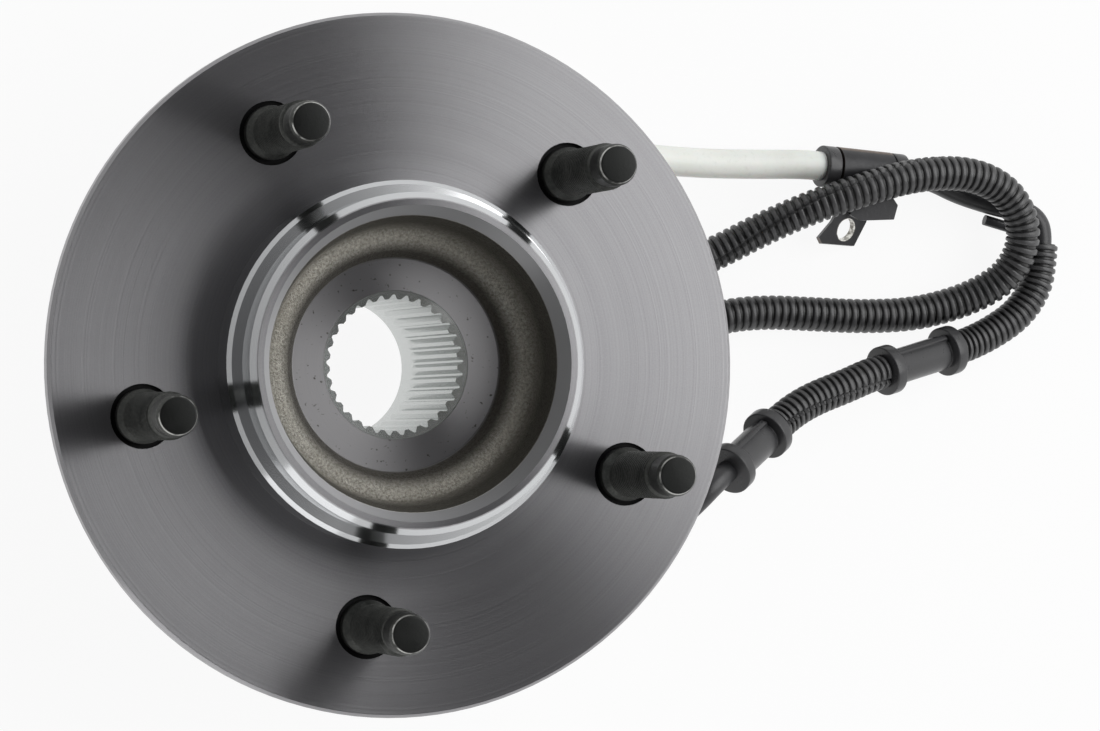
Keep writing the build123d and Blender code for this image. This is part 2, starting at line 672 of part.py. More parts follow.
def make_sensor_parts():
    """The speed sensor: body, pole, magnet, ring seal, screw and cable boot."""
    tip = TONE_WHEEL_RADIUS + SENSOR_AIR_GAP
    pole_end = tip + SENSOR_POLE_LENGTH
    ring_floor = SENSOR_HOLE_RADIUS - 2 * SENSOR_RING_SECTION
    ring_middle = SENSOR_HOLE_RADIUS - SENSOR_RING_SECTION
    stem = pillar(SENSOR_STEM_RADIUS, tip, sensor_pad_top)
    groove = Cylinder(SENSOR_HEAD_RADIUS, SENSOR_RING_GROOVE) - Cylinder(ring_floor, SENSOR_RING_GROOVE)
    plate = Pos(0, 0, sensor_pad_top) * extrude(sensor_pad(), SENSOR_PLATE)
    head = pillar(SENSOR_HEAD_RADIUS, sensor_seat, sensor_seat + SENSOR_HEAD_HEIGHT)
    head = fillet(head.edges().group_by(Axis.Z)[-1], SENSOR_HEAD_ROUND)
    outlet = Plane(origin=(0, 0, sensor_nose_level), z_dir=(1, 0, 0))
    nose = outlet * pillar(SENSOR_NOSE_RADIUS, 0, SENSOR_NOSE_END)
    pole = pillar(SENSOR_POLE_RADIUS, tip, pole_end)
    magnet = pillar(SENSOR_MAGNET_RADIUS, pole_end, pole_end + SENSOR_MAGNET_LENGTH)
    hole = pillar(SCREW_RADIUS + SCREW_CLEARANCE, sensor_pad_top, sensor_seat)
    ring_level = sensor_pad_top - SENSOR_RING_DROP
    body = stem + plate + head + nose - pole - magnet
    body -= Pos(0, 0, ring_level) * groove
    body -= Pos(-SENSOR_EAR_OFFSET, 0, 0) * hole
    ring = Pos(0, 0, ring_level) * Torus(ring_middle, SENSOR_RING_SECTION)
    boot = outlet * make_boot()
    place = sensor_plane()
    return {
        "sensor_body": place * body,
        "sensor_pole": place * pole,
        "sensor_magnet": place * magnet,
        "sensor_o_ring": place * ring,
        "sensor_screw": place * make_sensor_screw(),
        "sensor_boot": place * boot,
    }


def make_sensor_screw():
    """A hexagon flange screw beside the sensor head."""
    shank = pillar(SCREW_RADIUS, sensor_pad_top - SCREW_DEPTH, sensor_seat)
    washer = pillar(SCREW_WASHER_RADIUS, sensor_seat, sensor_seat + SCREW_WASHER)
    hexagon = RegularPolygon(SCREW_HEX / 2, HEX_SIDES, major_radius=False)
    head = Pos(0, 0, sensor_seat) * extrude(hexagon, SCREW_HEAD)
    return Pos(-SENSOR_EAR_OFFSET, 0, 0) * (shank + washer + head)


def make_boot():
    """The ribbed strain relief between the sensor's outlet and the sleeve."""
    points = [(0, SENSOR_NOSE_END), (SENSOR_NOSE_RADIUS, SENSOR_NOSE_END)]
    pitch = BOOT_LENGTH / (BOOT_RIBS + 1)
    gap = BOOT_RIB_SHARE * pitch
    for index in range(BOOT_RIBS):
        start = SENSOR_NOSE_END + pitch * index + gap
        radius = boot_radius(start)
        points.append((radius, start))
        points.append((radius - BOOT_RIB_DEPTH, start + gap / 2))
        points.append((boot_radius(start + gap), start + gap))
    points.append((BOOT_TIP_RADIUS, SENSOR_NOSE_END + BOOT_LENGTH))
    points.append((0, SENSOR_NOSE_END + BOOT_LENGTH))
    return turned(points)


def boot_radius(height):
    """The boot's outer radius at a height along it."""
    share = (height - SENSOR_NOSE_END) / BOOT_LENGTH
    return SENSOR_NOSE_RADIUS + share * (BOOT_TIP_RADIUS - SENSOR_NOSE_RADIUS)


def outlet_point(distance):
    """The point at a distance along the axis of the sensor's cable outlet."""
    point = sensor_plane().from_local_coords((distance, 0, sensor_nose_level))
    return point.X, point.Y, point.Z


def beyond(start, end, run):
    """The point a straight run past the end of the line between two others."""
    point = Vector(*end) + (Vector(*end) - Vector(*start)).normalized() * run
    return point.X, point.Y, point.Z


def corner_radii(route):
    """The tangent arc that each corner of a route has room for."""
    points = [Vector(*point) for point in route]
    radii = []
    for before, corner, after in zip(points, points[1:], points[2:]):
        inward = corner - before
        outward = after - corner
        half_turn = math.radians(inward.get_angle(outward)) / 2
        radii.append(ARC_SHARE * min(inward.length, outward.length) / math.tan(half_turn))
    return radii


def tube(name, route, diameter):
    """A round cord along straight runs joined by tangent arcs."""
    radii = corner_radii(route)
    path = FilletPolyline(*route, radius=radii)
    section = Plane(origin=path @ 0, z_dir=path % 0) * Circle(diameter / 2)
    solid = sweep(section, path)
    share = solid.volume / (math.pi * (diameter / 2) ** 2 * path.length)
    print(f"{name}: length {path.length:.1f}, volume over section times length {share:.4f}")
    print("   route " + " ".join(f"({x:.2f}, {y:.2f}, {z:.2f})" for x, y, z in route))
    print("   radii " + " ".join(f"{radius:.1f}" for radius in radii))
    return solid


def make_spool(start, end, flange_radius, flange, body_radius):
    """A grommet shaped like a spool between two points of the harness."""
    plane, length = along(start, end)
    far = length - flange
    outline = [
        (0, 0), (flange_radius, 0), (flange_radius, flange), (body_radius, flange),
        (body_radius, far), (flange_radius, far), (flange_radius, length), (0, length),
    ]
    return plane * turned(outline)


def make_bracket():
    """The steel bracket round the sleeve's grommet: band, tilted plate with its hole, and tab."""
    plane, length = along(SLEEVE_SPOOL_START, SLEEVE_SPOOL_END)
    margin = SLEEVE_SPOOL_FLANGE + BAND_MARGIN
    drum = plane * pillar(SLEEVE_SPOOL_BODY_RADIUS, 0, length)
    band = plane * pillar(SLEEVE_SPOOL_BODY_RADIUS + BAND_WALL, margin, length - margin)
    prism = extrude(make_face(Polyline(*PLATE_OUTLINE, close=True)), 2 * CUTTER_REACH)
    lean = plate_plane()
    slab = lean * Box(2 * CUTTER_REACH, 2 * CUTTER_REACH, PLATE_THICKNESS)
    plate = (Pos(0, 0, PLATE_HOLE[2] - CUTTER_REACH) * prism) & slab
    tab = extrude(make_face(Polyline(*TAB_OUTLINE, close=True)), TAB_THICKNESS)
    bracket = band + plate + Pos(0, 0, TAB_TOP - TAB_THICKNESS) * tab
    bracket -= drum
    bracket -= lean * Cylinder(PLATE_HOLE_RADIUS, 2 * PLATE_THICKNESS)
    return bracket


def plate_plane():
    """The middle plane of the bracket's tilted plate, at its hole."""
    east, north = polar(math.sin(math.radians(PLATE_TILT)), PLATE_TURN)
    return Plane(origin=PLATE_HOLE, z_dir=(east, north, math.cos(math.radians(PLATE_TILT))))


def make_splice_cap():
    """The short sealed cap that lies beside the link cable."""
    plane, length = along(CAP_START, CAP_END)
    return plane * pillar(CAP_RADIUS, 0, length)


def rounded_block(length, width, height, corner):
    """A block along -X from the origin, its long edges rounded."""
    profile = RectangleRounded(width, height, corner)
    return Plane(origin=(0, 0, 0), x_dir=(0, 1, 0), z_dir=(-1, 0, 0)) * extrude(profile, length)


def make_connector_parts():
    """The connector on the harness's end: shell, rear cap, seal mat, terminals and lock."""
    rear = Pos(*CONNECTOR_REAR)
    place = rear * Pos(-CONNECTOR_CAP_LENGTH, 0, 0)
    body_length = CONNECTOR_LENGTH - CONNECTOR_CAP_LENGTH
    floor = body_length - SOCKET_DEPTH
    width = CONNECTOR_WIDTH - 2 * CONNECTOR_WALL
    height = CONNECTOR_HEIGHT - 2 * CONNECTOR_WALL
    shell = rounded_block(body_length, CONNECTOR_WIDTH, CONNECTOR_HEIGHT, CONNECTOR_ROUND)
    socket = Pos(-floor, 0, 0) * rounded_block(SOCKET_DEPTH + CUT_MARGIN, width, height, SOCKET_ROUND)
    half = CONNECTOR_HEIGHT / 2
    ramp = [(0, 0), (0, half), (-LATCH_LENGTH, half + LATCH_HEIGHT), (-LATCH_LENGTH, 0)]
    latch = extrude(Plane.XZ * make_face(Polyline(*ramp, close=True)), LATCH_WIDTH)
    backwards = Plane(origin=(0, 0, 0), z_dir=(-1, 0, 0))
    cap = backwards * pillar(CONNECTOR_CAP_RADIUS, 0, CONNECTOR_CAP_LENGTH)
    mat = Pos(-floor, 0, 0) * rounded_block(SEAL_MAT, width, height, SOCKET_ROUND)
    lock_centre = (-floor - SEAL_MAT - LOCK_LENGTH / 2, 0, (LOCK_HEIGHT - height) / 2)
    lock = Pos(*lock_centre) * Box(LOCK_LENGTH, LOCK_WIDTH, LOCK_HEIGHT)
    pin = Box(PIN_REACH + PIN_ROOT, PIN_WIDTH, PIN_THICKNESS)
    pin_middle = floor + (PIN_REACH - PIN_ROOT) / 2
    pins = [place * Pos(-pin_middle, shift, 0) * pin for shift in (-PIN_SPREAD, PIN_SPREAD)]
    housing = place * (shell + Pos(-LATCH_START, LATCH_WIDTH / 2, 0) * latch - socket)
    seal = place * mat
    for blade in pins:
        housing -= blade
        seal -= blade
    return {
        "connector_housing": housing,
        "connector_rear_cap": rear * cap,
        "connector_seal": seal,
        "connector_terminals": pins,
        "connector_lock": place * lock,
    }


def make_cords():
    """Sleeve, cables and looms, each leaving the piece it comes out of along that piece's axis."""
    boot_start = outlet_point(SENSOR_NOSE_END)
    boot_end = outlet_point(SENSOR_NOSE_END + BOOT_LENGTH)
    sleeve_first = beyond(boot_start, boot_end, LOOM_RUN)
    sleeve_last = beyond(SLEEVE_SPOOL_END, SLEEVE_SPOOL_START, LOOM_RUN)
    link_first = beyond(SLEEVE_SPOOL_START, SLEEVE_SPOOL_END, CABLE_RUN)
    link_last = beyond(LOOM_BEND_ROUTE[0], LOOM_BEND_START, CABLE_RUN)
    bend_last = beyond(MIDDLE_SPOOL_END, MIDDLE_SPOOL_START, LOOM_RUN)
    short_first = beyond(MIDDLE_SPOOL_START, MIDDLE_SPOOL_END, LOOM_RUN)
    short_last = beyond(END_SPOOL_END, END_SPOOL_START, CABLE_RUN)
    lead_first = beyond(END_SPOOL_START, END_SPOOL_END, LOOM_RUN)
    lead_last = beyond(LOOM_LOOP_ROUTE[-1], LOOM_LOOP_END, LOOM_RUN)
    loop_first = beyond((0, CONNECTOR_REAR[1], CONNECTOR_REAR[2]), CONNECTOR_REAR, LOOM_RUN)
    routes = {
        "white_sleeve": [boot_end, sleeve_first] + SLEEVE_ROUTE + [sleeve_last, SLEEVE_SPOOL_START],
        "link_cable": [SLEEVE_SPOOL_END, link_first] + LINK_ROUTE + [link_last, LOOM_BEND_START],
        "loom_bend": [LOOM_BEND_START] + LOOM_BEND_ROUTE + [bend_last, MIDDLE_SPOOL_START],
        "loom_short": [MIDDLE_SPOOL_END, short_first] + LOOM_SHORT_ROUTE + [short_last, END_SPOOL_START],
        "lead_cable": [END_SPOOL_END, lead_first] + CABLE_ROUTE + [lead_last, LOOM_LOOP_END],
        "loom_loop": [CONNECTOR_REAR, loop_first] + LOOM_LOOP_ROUTE + [LOOM_LOOP_END],
    }
    diameters = {
        "white_sleeve": SLEEVE_DIAMETER, "link_cable": CABLE_DIAMETER, "lead_cable": CABLE_DIAMETER,
    }
    cords = {}
    for name, route in routes.items():
        cords[name] = tube(name, route, diameters.get(name, LOOM_DIAMETER))
    return cords


def make_fittings():
    """Grommets, bracket and splice cap of the harness."""
    sleeve_sizes = (SLEEVE_SPOOL_FLANGE_RADIUS, SLEEVE_SPOOL_FLANGE, SLEEVE_SPOOL_BODY_RADIUS)
    sizes = (SPOOL_FLANGE_RADIUS, SPOOL_FLANGE, SPOOL_BODY_RADIUS)
    return {
        "sleeve_grommet": make_spool(SLEEVE_SPOOL_START, SLEEVE_SPOOL_END, *sleeve_sizes),
        "harness_bracket": make_bracket(),
        "splice_cap": make_splice_cap(),
        "middle_grommet": make_spool(MIDDLE_SPOOL_START, MIDDLE_SPOOL_END, *sizes),
        "end_grommet": make_spool(END_SPOOL_START, END_SPOOL_END, *sizes),
    }


def make_bearing_parts():
    """Hub, rings, rollers, cages and seals."""
    outboard_case = HOUSING_TOP - OUTBOARD_CASE_SET
    inboard_case = HOUSING_BOTTOM + INBOARD_CASE_SET
    o_ring_height = KNUCKLE_FACE - GROOVE_OFFSET - GROOVE_WIDTH / 2
    o_ring_radius = groove_floor_radius + pilot_o_ring_section
    outboard_reach = SEAL_BORE_RADIUS - OUTBOARD_SLINGER_SHY
    inboard_reach = SEAL_BORE_RADIUS - INBOARD_SLINGER_SHY
    return {
        "hub": make_hub(),
        "wheel_studs": make_studs(),
        "inner_ring": make_inner_ring(),
        "tone_wheel": make_tone_wheel(),
        "outer_ring": make_outer_ring(),
        "outboard_rollers": make_rollers(OUTBOARD_ROW, OUTBOARD),
        "outboard_cage": make_cage(OUTBOARD_ROW, OUTBOARD),
        "inboard_rollers": make_rollers(INBOARD_ROW, INBOARD),
        "inboard_cage": make_cage(INBOARD_ROW, INBOARD),
        "outboard_slinger": make_slinger(SEAL_LAND_RADIUS, -FLANGE_THICKNESS, OUTBOARD,
                                         outboard_reach, OUTBOARD_SLINGER_LEG),
        "outboard_seal_case": make_seal_case(outboard_case, OUTBOARD, SEAL_LAND_RADIUS),
        "outboard_seal_lip": make_seal_lip(outboard_case, OUTBOARD, SEAL_LAND_RADIUS),
        "inboard_slinger": make_slinger(RING_LAND_RADIUS, INNER_RING_END, INBOARD,
                                        inboard_reach, INBOARD_SLINGER_LEG),
        "inboard_seal_case": make_seal_case(inboard_case, INBOARD, RING_LAND_RADIUS),
        "inboard_seal_lip": make_seal_lip(inboard_case, INBOARD, RING_LAND_RADIUS),
        "pilot_o_ring": Pos(0, 0, o_ring_height) * Torus(o_ring_radius, pilot_o_ring_section),
    }


def main():
    """Build every sub-part and write each to its own file."""
    os.makedirs("parts", exist_ok=True)
    parts = make_bearing_parts() | make_sensor_parts()
    parts |= make_cords() | make_fittings() | make_connector_parts()
    for name, shape in parts.items():
        solids = shape if isinstance(shape, list) else [shape]
        solids = [solid for piece in solids for solid in piece.solids()]
        export_step(solids[0] if len(solids) == 1 else Compound(solids), f"parts/{name}.step")


main()
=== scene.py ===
import json
import math

import bpy
import numpy as np
from mathutils import Matrix, Vector


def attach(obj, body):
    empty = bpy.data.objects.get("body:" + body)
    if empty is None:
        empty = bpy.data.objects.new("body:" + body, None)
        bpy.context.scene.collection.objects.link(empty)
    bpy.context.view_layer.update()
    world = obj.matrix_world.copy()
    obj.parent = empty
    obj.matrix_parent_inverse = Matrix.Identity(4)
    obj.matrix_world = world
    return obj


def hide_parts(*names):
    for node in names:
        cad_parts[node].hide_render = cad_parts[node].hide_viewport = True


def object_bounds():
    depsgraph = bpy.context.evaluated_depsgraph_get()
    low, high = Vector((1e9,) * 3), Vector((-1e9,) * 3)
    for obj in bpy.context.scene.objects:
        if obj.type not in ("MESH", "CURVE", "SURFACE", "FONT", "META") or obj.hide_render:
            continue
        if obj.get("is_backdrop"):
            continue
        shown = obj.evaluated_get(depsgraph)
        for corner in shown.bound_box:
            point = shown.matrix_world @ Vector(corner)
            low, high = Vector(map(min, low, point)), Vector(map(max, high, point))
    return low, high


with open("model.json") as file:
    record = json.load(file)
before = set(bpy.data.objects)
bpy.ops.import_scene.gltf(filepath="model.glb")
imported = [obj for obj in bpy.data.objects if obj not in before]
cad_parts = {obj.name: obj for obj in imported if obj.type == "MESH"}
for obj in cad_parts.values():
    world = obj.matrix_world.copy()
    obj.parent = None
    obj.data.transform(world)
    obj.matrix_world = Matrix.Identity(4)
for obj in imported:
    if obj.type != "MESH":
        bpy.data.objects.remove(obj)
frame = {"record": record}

cad_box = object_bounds()
scene = bpy.context.scene
scene.view_settings.view_transform = "Standard"

# Sizes repeated from the CAD source, in metres
FLOOR = -0.0685
LOOM = 0.0096
CABLE = 0.006
SLEEVE = 0.0081
STUD_CIRCLE = 0.135
STUD_FIRST_ANGLE = 43.76
STUD_COUNT = 5
STUD_TIP = 0.0445
THREAD_PITCH = 0.0015
PLATE_HOLE = (0.1477, 0.0305, -0.0638)
PLATE_TILT = 30
PLATE_TURN = -45

# Camera: focal length in mm, place in metres, and turn about X, Y and Z in degrees
CAMERA_LENS = 145.0746
CAMERA_PLACE = (-0.285804, 0, 1.100689)
CAMERA_TURN = (0.89377, -16.50778, -3.58875)

# Ends of each grommet on its cord
SLEEVE_SPOOL = ((0.1401, 0.0481, -0.0587), (0.1654, 0.0447, -0.0627))
MIDDLE_SPOOL = ((0.1765, -0.0050, -0.0600), (0.1519, -0.0099, -0.0513))
END_SPOOL = ((0.1147, -0.0239, -0.0410), (0.0976, -0.0339, -0.0295))

# Routes of the cords
SLEEVE_ROUTE = [
    (0.04092, 0.05930, -0.0395), (0.04683, 0.05825, -0.0395), (0.0600, 0.0554, -0.0412),
    (0.0800, 0.0526, -0.0460), (0.1010, 0.0503, -0.0525), (0.1210, 0.0493, -0.0566),
    (0.13423, 0.04889, -0.05777), (0.1401, 0.0481, -0.0587),
]
LINK_ROUTE = [
    (0.1654, 0.0447, -0.0627), (0.16932, 0.04417, -0.06332), (0.1755, 0.0426, -0.0644),
    (0.1828, 0.0389, -0.0654), (0.1908, 0.0360, -0.0655), (0.1965, 0.0342, -0.0655),
    (0.2022, 0.0330, -0.0652), (0.2057, 0.0309, -0.0644), (0.20728, 0.02717, -0.0637),
    (0.2068, 0.0232, -0.0637),
]
OUTER_LOOM_ROUTE = [
    (0.2068, 0.0232, -0.0637), (0.2062, 0.0182, -0.0637), (0.2044, 0.0109, -0.0637),
    (0.1987, 0.0038, -0.0637), (0.1901, -0.0010, -0.0632), (0.18206, -0.00389, -0.06197),
    (0.1765, -0.0050, -0.0600), (0.1519, -0.0099, -0.0513), (0.14634, -0.01101, -0.04933),
    (0.1403, -0.0131, -0.0482), (0.1300, -0.0160, -0.0466), (0.1230, -0.0189, -0.0446),
    (0.11769, -0.02215, -0.04301), (0.1147, -0.0239, -0.0410),
]
LEAD_ROUTE = [
    (0.0976, -0.0339, -0.0295), (0.09312, -0.03652, -0.02649), (0.0878, -0.0412, -0.0264),
    (0.0830, -0.0462, -0.0310), (0.0798, -0.0500, -0.0405), (0.0758, -0.0520, -0.0510),
    (0.0694, -0.0508, -0.0604), (0.0628, -0.0436, -0.0652), (0.0602, -0.0316, -0.0655),
    (0.0618, -0.0186, -0.0655), (0.0694, -0.0090, -0.0655), (0.0794, -0.0008, -0.0650),
    (0.09315, 0.00426, -0.0637), (0.0990, 0.0056, -0.0637),
]
LOOP_ROUTE = [
    (0.0880, 0.0205, -0.0610), (0.0940, 0.0205, -0.0610), (0.1085, 0.0256, -0.0597),
    (0.1216, 0.0316, -0.0570), (0.1347, 0.0367, -0.0529), (0.1491, 0.0407, -0.0506),
    (0.1635, 0.0439, -0.0509), (0.1772, 0.0444, -0.0524), (0.1870, 0.0422, -0.0536),
    (0.1945, 0.0373, -0.0548), (0.1989, 0.0294, -0.0562), (0.1984, 0.0215, -0.0578),
    (0.1943, 0.0147, -0.0600), (0.1872, 0.0104, -0.0622), (0.1780, 0.0074, -0.0635),
    (0.1660, 0.0054, -0.0637), (0.1510, 0.0057, -0.0637), (0.1365, 0.0072, -0.0637),
    (0.1225, 0.0086, -0.0637), (0.1095, 0.0080, -0.0637), (0.0990, 0.0056, -0.0637),
]

# Where each conduit's slit lies: distance along it, and degrees from its side towards its top
OUTER_SEAM = [(0.0, -60), (0.046, -60), (0.0724, 53), (0.1139, 85)]
LOOP_SEAM = [(0.0, 120), (0.021, 114), (0.053, 59), (0.070, 44), (0.083, 20), (0.105, -40), (0.236, -40)]

# Ring pitch of each conduit, and the smooth stretch of the outer one inside the middle grommet
OUTER_PITCH = 0.00207
LOOP_PITCH = 0.00228
MIDDLE_GAP = (0.0475, 0.0707)
NO_GAP = (0.0, 0.0)

# Radius of a conduit's ring at its top and foot, and how deep the slit lies below the foot
LOOM_TOP = LOOM / 2
LOOM_FOOT = LOOM_TOP - 0.0007
SLIT_DEPTH = 0.0004

# One ring of a conduit: share of the pitch, and radius there
RING_PROFILE = [
    (0.00, LOOM_FOOT), (0.13, LOOM_FOOT), (0.18, LOOM_TOP - 0.00030), (0.28, LOOM_TOP - 0.00005),
    (0.38, LOOM_TOP), (0.62, LOOM_TOP), (0.72, LOOM_TOP - 0.00005), (0.82, LOOM_TOP - 0.00030),
    (0.87, LOOM_FOOT),
]

# Material slot of each cord, and the CAD nodes that it stands for
CORD_SLOTS = {
    "sleeve": ("white_sleeve", ["white_sleeve"]),
    "link": ("cable_rubber", ["link_cable"]),
    "lead": ("cable_rubber", ["lead_cable"]),
    "outer": ("loom_plastic", ["loom_bend", "loom_short"]),
    "loop": ("loom_plastic", ["loom_loop"]),
}

# Grommets: flange radius, flange thickness and body radius, then each long rib's place in degrees
SMALL_GROMMET = (0.0058, 0.0040, 0.00465)
LARGE_GROMMET = (0.0069, 0.0035, 0.0049)
SLEEVE_RIB = 42
MIDDLE_RIB = 143
END_RIB = 140
GROMMET_CORNER = 0.0004

# The undercut at a grommet's first flange: its depth, its width, and the length of the ramp out of it
UNDERCUT_DEPTH = 0.0008
UNDERCUT_WIDTH = 0.0010
UNDERCUT_RAMP = 0.0003

# Section of a grommet's long rib: across, and out from the body; its feet lie inside the body
RIB_SECTION = [
    (-0.0011, -0.0004), (-0.0010, 0.0004), (-0.0007, 0.0006), (0.0007, 0.0006), (0.0010, 0.0004),
    (0.0011, -0.0004),
]
RIB_START = 0.0006
RIB_OVERLAP = 0.0005

# Zones of the hub: inner and outer radius, bottom and top, and how soft their edges are
HUB_ZONES = {
    "face": (0.0468, 0.0898, -0.0003, 0.0003, 0.0001, 0.0001),
    "pilot": (0.0410, 0.0471, 0.0002, 0.0223, 0.0001, 0.0001),
    "cone": (0.0376, 0.0400, 0.0178, 0.0225, 0.0001, 0.0001),
    "bowl": (0.0274, 0.0377, -0.0006, 0.0178, 0.0001, 0.0002),
    "seat": (0.0190, 0.0275, -0.0015, 0.0, 0.0002, 0.0002),
    "hole": (0.0570, 0.0780, -0.0075, -0.0003, 0.0001, 0.0001),
    "spline": (0.0, 0.0191, -0.07, -0.0009, 0.0001, 0.0002),
}

# Radii over which painted shade fades in on the bowl's wall, outwards, and a darker tone on its foot, inwards
BOWL_WALL_FADE = (0.0335, 0.0362)
BOWL_FOOT_FADE = (0.0320, 0.0290)

# Distances from the plate's hole over which its bare wall ends, and over which rusty edges begin
BARE_WALL_END = (0.0034, 0.0036)
RUST_BEGIN = (0.0075, 0.0080)

# Roughness of the hub's zones; the rest of it has the roughness of turned rings
HUB_ROUGHNESS = {"pilot": 0.18, "cone": 0.45, "bowl": 0.40, "seat": 0.34, "spline": 0.27, "hole": 0.7}

# Plain materials: colour, roughness, metallic, scale of grain and patches, spread of tone, bump
PLAIN_MATERIALS = {
    "bearing_steel": ((0.55, 0.56, 0.58), 0.20, 1.0, 1500, 40, 0.06, 0.1),
    "tone_steel": ((0.36, 0.36, 0.37), 0.42, 1.0, 900, 80, 0.14, 0.4),
    "housing_steel": ((0.25, 0.25, 0.26), 0.46, 1.0, 700, 45, 0.16, 0.5),
    "cage_steel": ((0.36, 0.36, 0.37), 0.36, 1.0, 900, 60, 0.10, 0.2),
    "seal_steel": ((0.45, 0.46, 0.47), 0.32, 1.0, 900, 60, 0.10, 0.2),
    "seal_rubber": ((0.022, 0.022, 0.024), 0.62, 0.0, 900, 80, 0.25, 0.3),
    "sensor_plastic": ((0.022, 0.022, 0.025), 0.45, 0.0, 1500, 90, 0.2, 0.35),
    "magnet": ((0.12, 0.12, 0.13), 0.6, 0.6, 900, 90, 0.2, 0.5),
    "zinc_steel": ((0.55, 0.55, 0.52), 0.34, 1.0, 1200, 90, 0.14, 0.25),
    "cable_rubber": ((0.030, 0.030, 0.032), 0.36, 0.0, 1500, 120, 0.25, 0.3),
    "cap_plastic": ((0.085, 0.086, 0.090), 0.34, 0.0, 1500, 120, 0.2, 0.2),
    "grommet_rubber": ((0.040, 0.040, 0.042), 0.30, 0.0, 1600, 120, 0.15, 0.2),
    "connector_plastic": ((0.025, 0.025, 0.027), 0.42, 0.0, 1600, 90, 0.2, 0.35),
    "connector_seal": ((0.40, 0.11, 0.045), 0.55, 0.0, 1200, 90, 0.15, 0.3),
    "terminal_brass": ((0.70, 0.55, 0.28), 0.28, 1.0, 1200, 90, 0.10, 0.2),
    "lock_plastic": ((0.50, 0.51, 0.52), 0.42, 0.0, 1500, 90, 0.08, 0.3),
}

# Floor and lights: a lamp has its place, its size in metres and its power in watts
FLOOR_REACH = 3.0
FLOOR_GAP = 0.0003
LAMP_TARGET = (0.05, 0, -0.03)
KEY_LAMP = ((0.93, 0.30, 1.05), (1.5, 1.0), 13)
FILL_LAMP = ((-0.7, -1.2, 0.5), (0.9, 0.9), 2)


# Camera at the photograph's place
def make_camera():
    data = bpy.data.cameras.new("camera")
    data.sensor_width = 36
    data.lens = CAMERA_LENS
    data.clip_start = 0.05
    data.clip_end = 20
    camera = bpy.data.objects.new("camera", data)
    scene.collection.objects.link(camera)
    camera.location = CAMERA_PLACE
    camera.rotation_euler = [math.radians(turn) for turn in CAMERA_TURN]
    scene.camera = camera


class Net:
    """A material and small helpers for its nodes, which keep each material short."""

    def __init__(self, name):
        self.mat = bpy.data.materials.new(name)
        self.mat.use_nodes = True
        self.tree = self.mat.node_tree
        self.bsdf = self.tree.nodes["Principled BSDF"]
        self.place = self.add("ShaderNodeTexCoord").outputs["Object"]
        split = self.add("ShaderNodeSeparateXYZ")
        self.join(self.place, split.inputs[0])
        self.x, self.y, self.z = split.outputs
        self.radius = self.math("SQRT", self.math(
            "ADD", self.math("MULTIPLY", self.x, self.x), self.math("MULTIPLY", self.y, self.y)))

    def add(self, kind, **values):
        node = self.tree.nodes.new(kind)
        for key, value in values.items():
            setattr(node, key, value)
        return node

    def join(self, source, target):
        if isinstance(source, bpy.types.NodeSocket):
            self.tree.links.new(source, target)
        else:
            target.default_value = source

    def math(self, operation, first, second=0.0, clamp=False):
        node = self.add("ShaderNodeMath", operation=operation, use_clamp=clamp)
        self.join(first, node.inputs[0])
        self.join(second, node.inputs[1])
        return node.outputs[0]

    def between(self, value, low, high, soft):
        """1 where value lies between low and high, with a soft edge."""
        rise = self.fade(value, low - soft, low + soft)
        drop = self.fade(value, high - soft, high + soft)
        return self.math("SUBTRACT", rise, drop, True)

    def zone(self, inner, outer, low, high, soft_radius, soft_height):
        """1 in a ring about Z, between two radii and two heights."""
        return self.math("MULTIPLY", self.between(self.radius, inner, outer, soft_radius),
                         self.between(self.z, low, high, soft_height))

    def fade(self, value, low, high, start=0.0, end=1.0):
        """Goes from start to end while value goes from low to high, and stays there beyond."""
        node = self.add("ShaderNodeMapRange")
        self.join(value, node.inputs["Value"])
        for key, number in (("From Min", low), ("From Max", high), ("To Min", start), ("To Max", end)):
            node.inputs[key].default_value = number
        return node.outputs[0]

    def noise(self, scale, detail=3.0, rough=0.55):
        node = self.add("ShaderNodeTexNoise")
        self.join(self.place, node.inputs["Vector"])
        node.inputs["Scale"].default_value = scale
        node.inputs["Detail"].default_value = detail
        node.inputs["Roughness"].default_value = rough
        return node.outputs["Fac"]

    def rings(self, value, scale, detail):
        """Noise that changes with one value only, such as the radius of a turned face."""
        node = self.add("ShaderNodeTexNoise", noise_dimensions="1D")
        self.join(value, node.inputs["W"])
        node.inputs["Scale"].default_value = scale
        node.inputs["Detail"].default_value = detail
        return node.outputs["Fac"]

    def mix(self, share, first, second):
        """One colour at share 0 and the other at share 1."""
        node = self.add("ShaderNodeMix", data_type="RGBA")
        self.join(share, node.inputs["Factor"])
        for value, socket in ((first, node.inputs[6]), (second, node.inputs[7])):
            self.join((*value, 1.0) if isinstance(value, tuple) else value, socket)
        return node.outputs[2]

    def blend(self, share, first, second):
        """One number at share 0 and the other at share 1."""
        node = self.add("ShaderNodeMix", data_type="FLOAT")
        self.join(share, node.inputs["Factor"])
        self.join(first, node.inputs[2])
        self.join(second, node.inputs[3])
        return node.outputs[0]

    def bump(self, height, strength, distance, below=None):
        """A surface direction from a height, on top of the bump below it."""
        node = self.add("ShaderNodeBump")
        self.join(height, node.inputs["Height"])
        node.inputs["Strength"].default_value = strength
        node.inputs["Distance"].default_value = distance
        if below is not None:
            self.join(below, node.inputs["Normal"])
        return node.outputs[0]

    def done(self, color, rough, metallic, normal, **numbers):
        """Joins all to the shader and gives back the finished material."""
        self.join((*color, 1.0) if isinstance(color, tuple) else color, self.bsdf.inputs["Base Color"])
        self.join(rough, self.bsdf.inputs["Roughness"])
        self.join(metallic, self.bsdf.inputs["Metallic"])
        self.join(normal, self.bsdf.inputs["Normal"])
        for key, number in numbers.items():
            self.bsdf.inputs[key.replace("_", " ")].default_value = number
        return self.mat


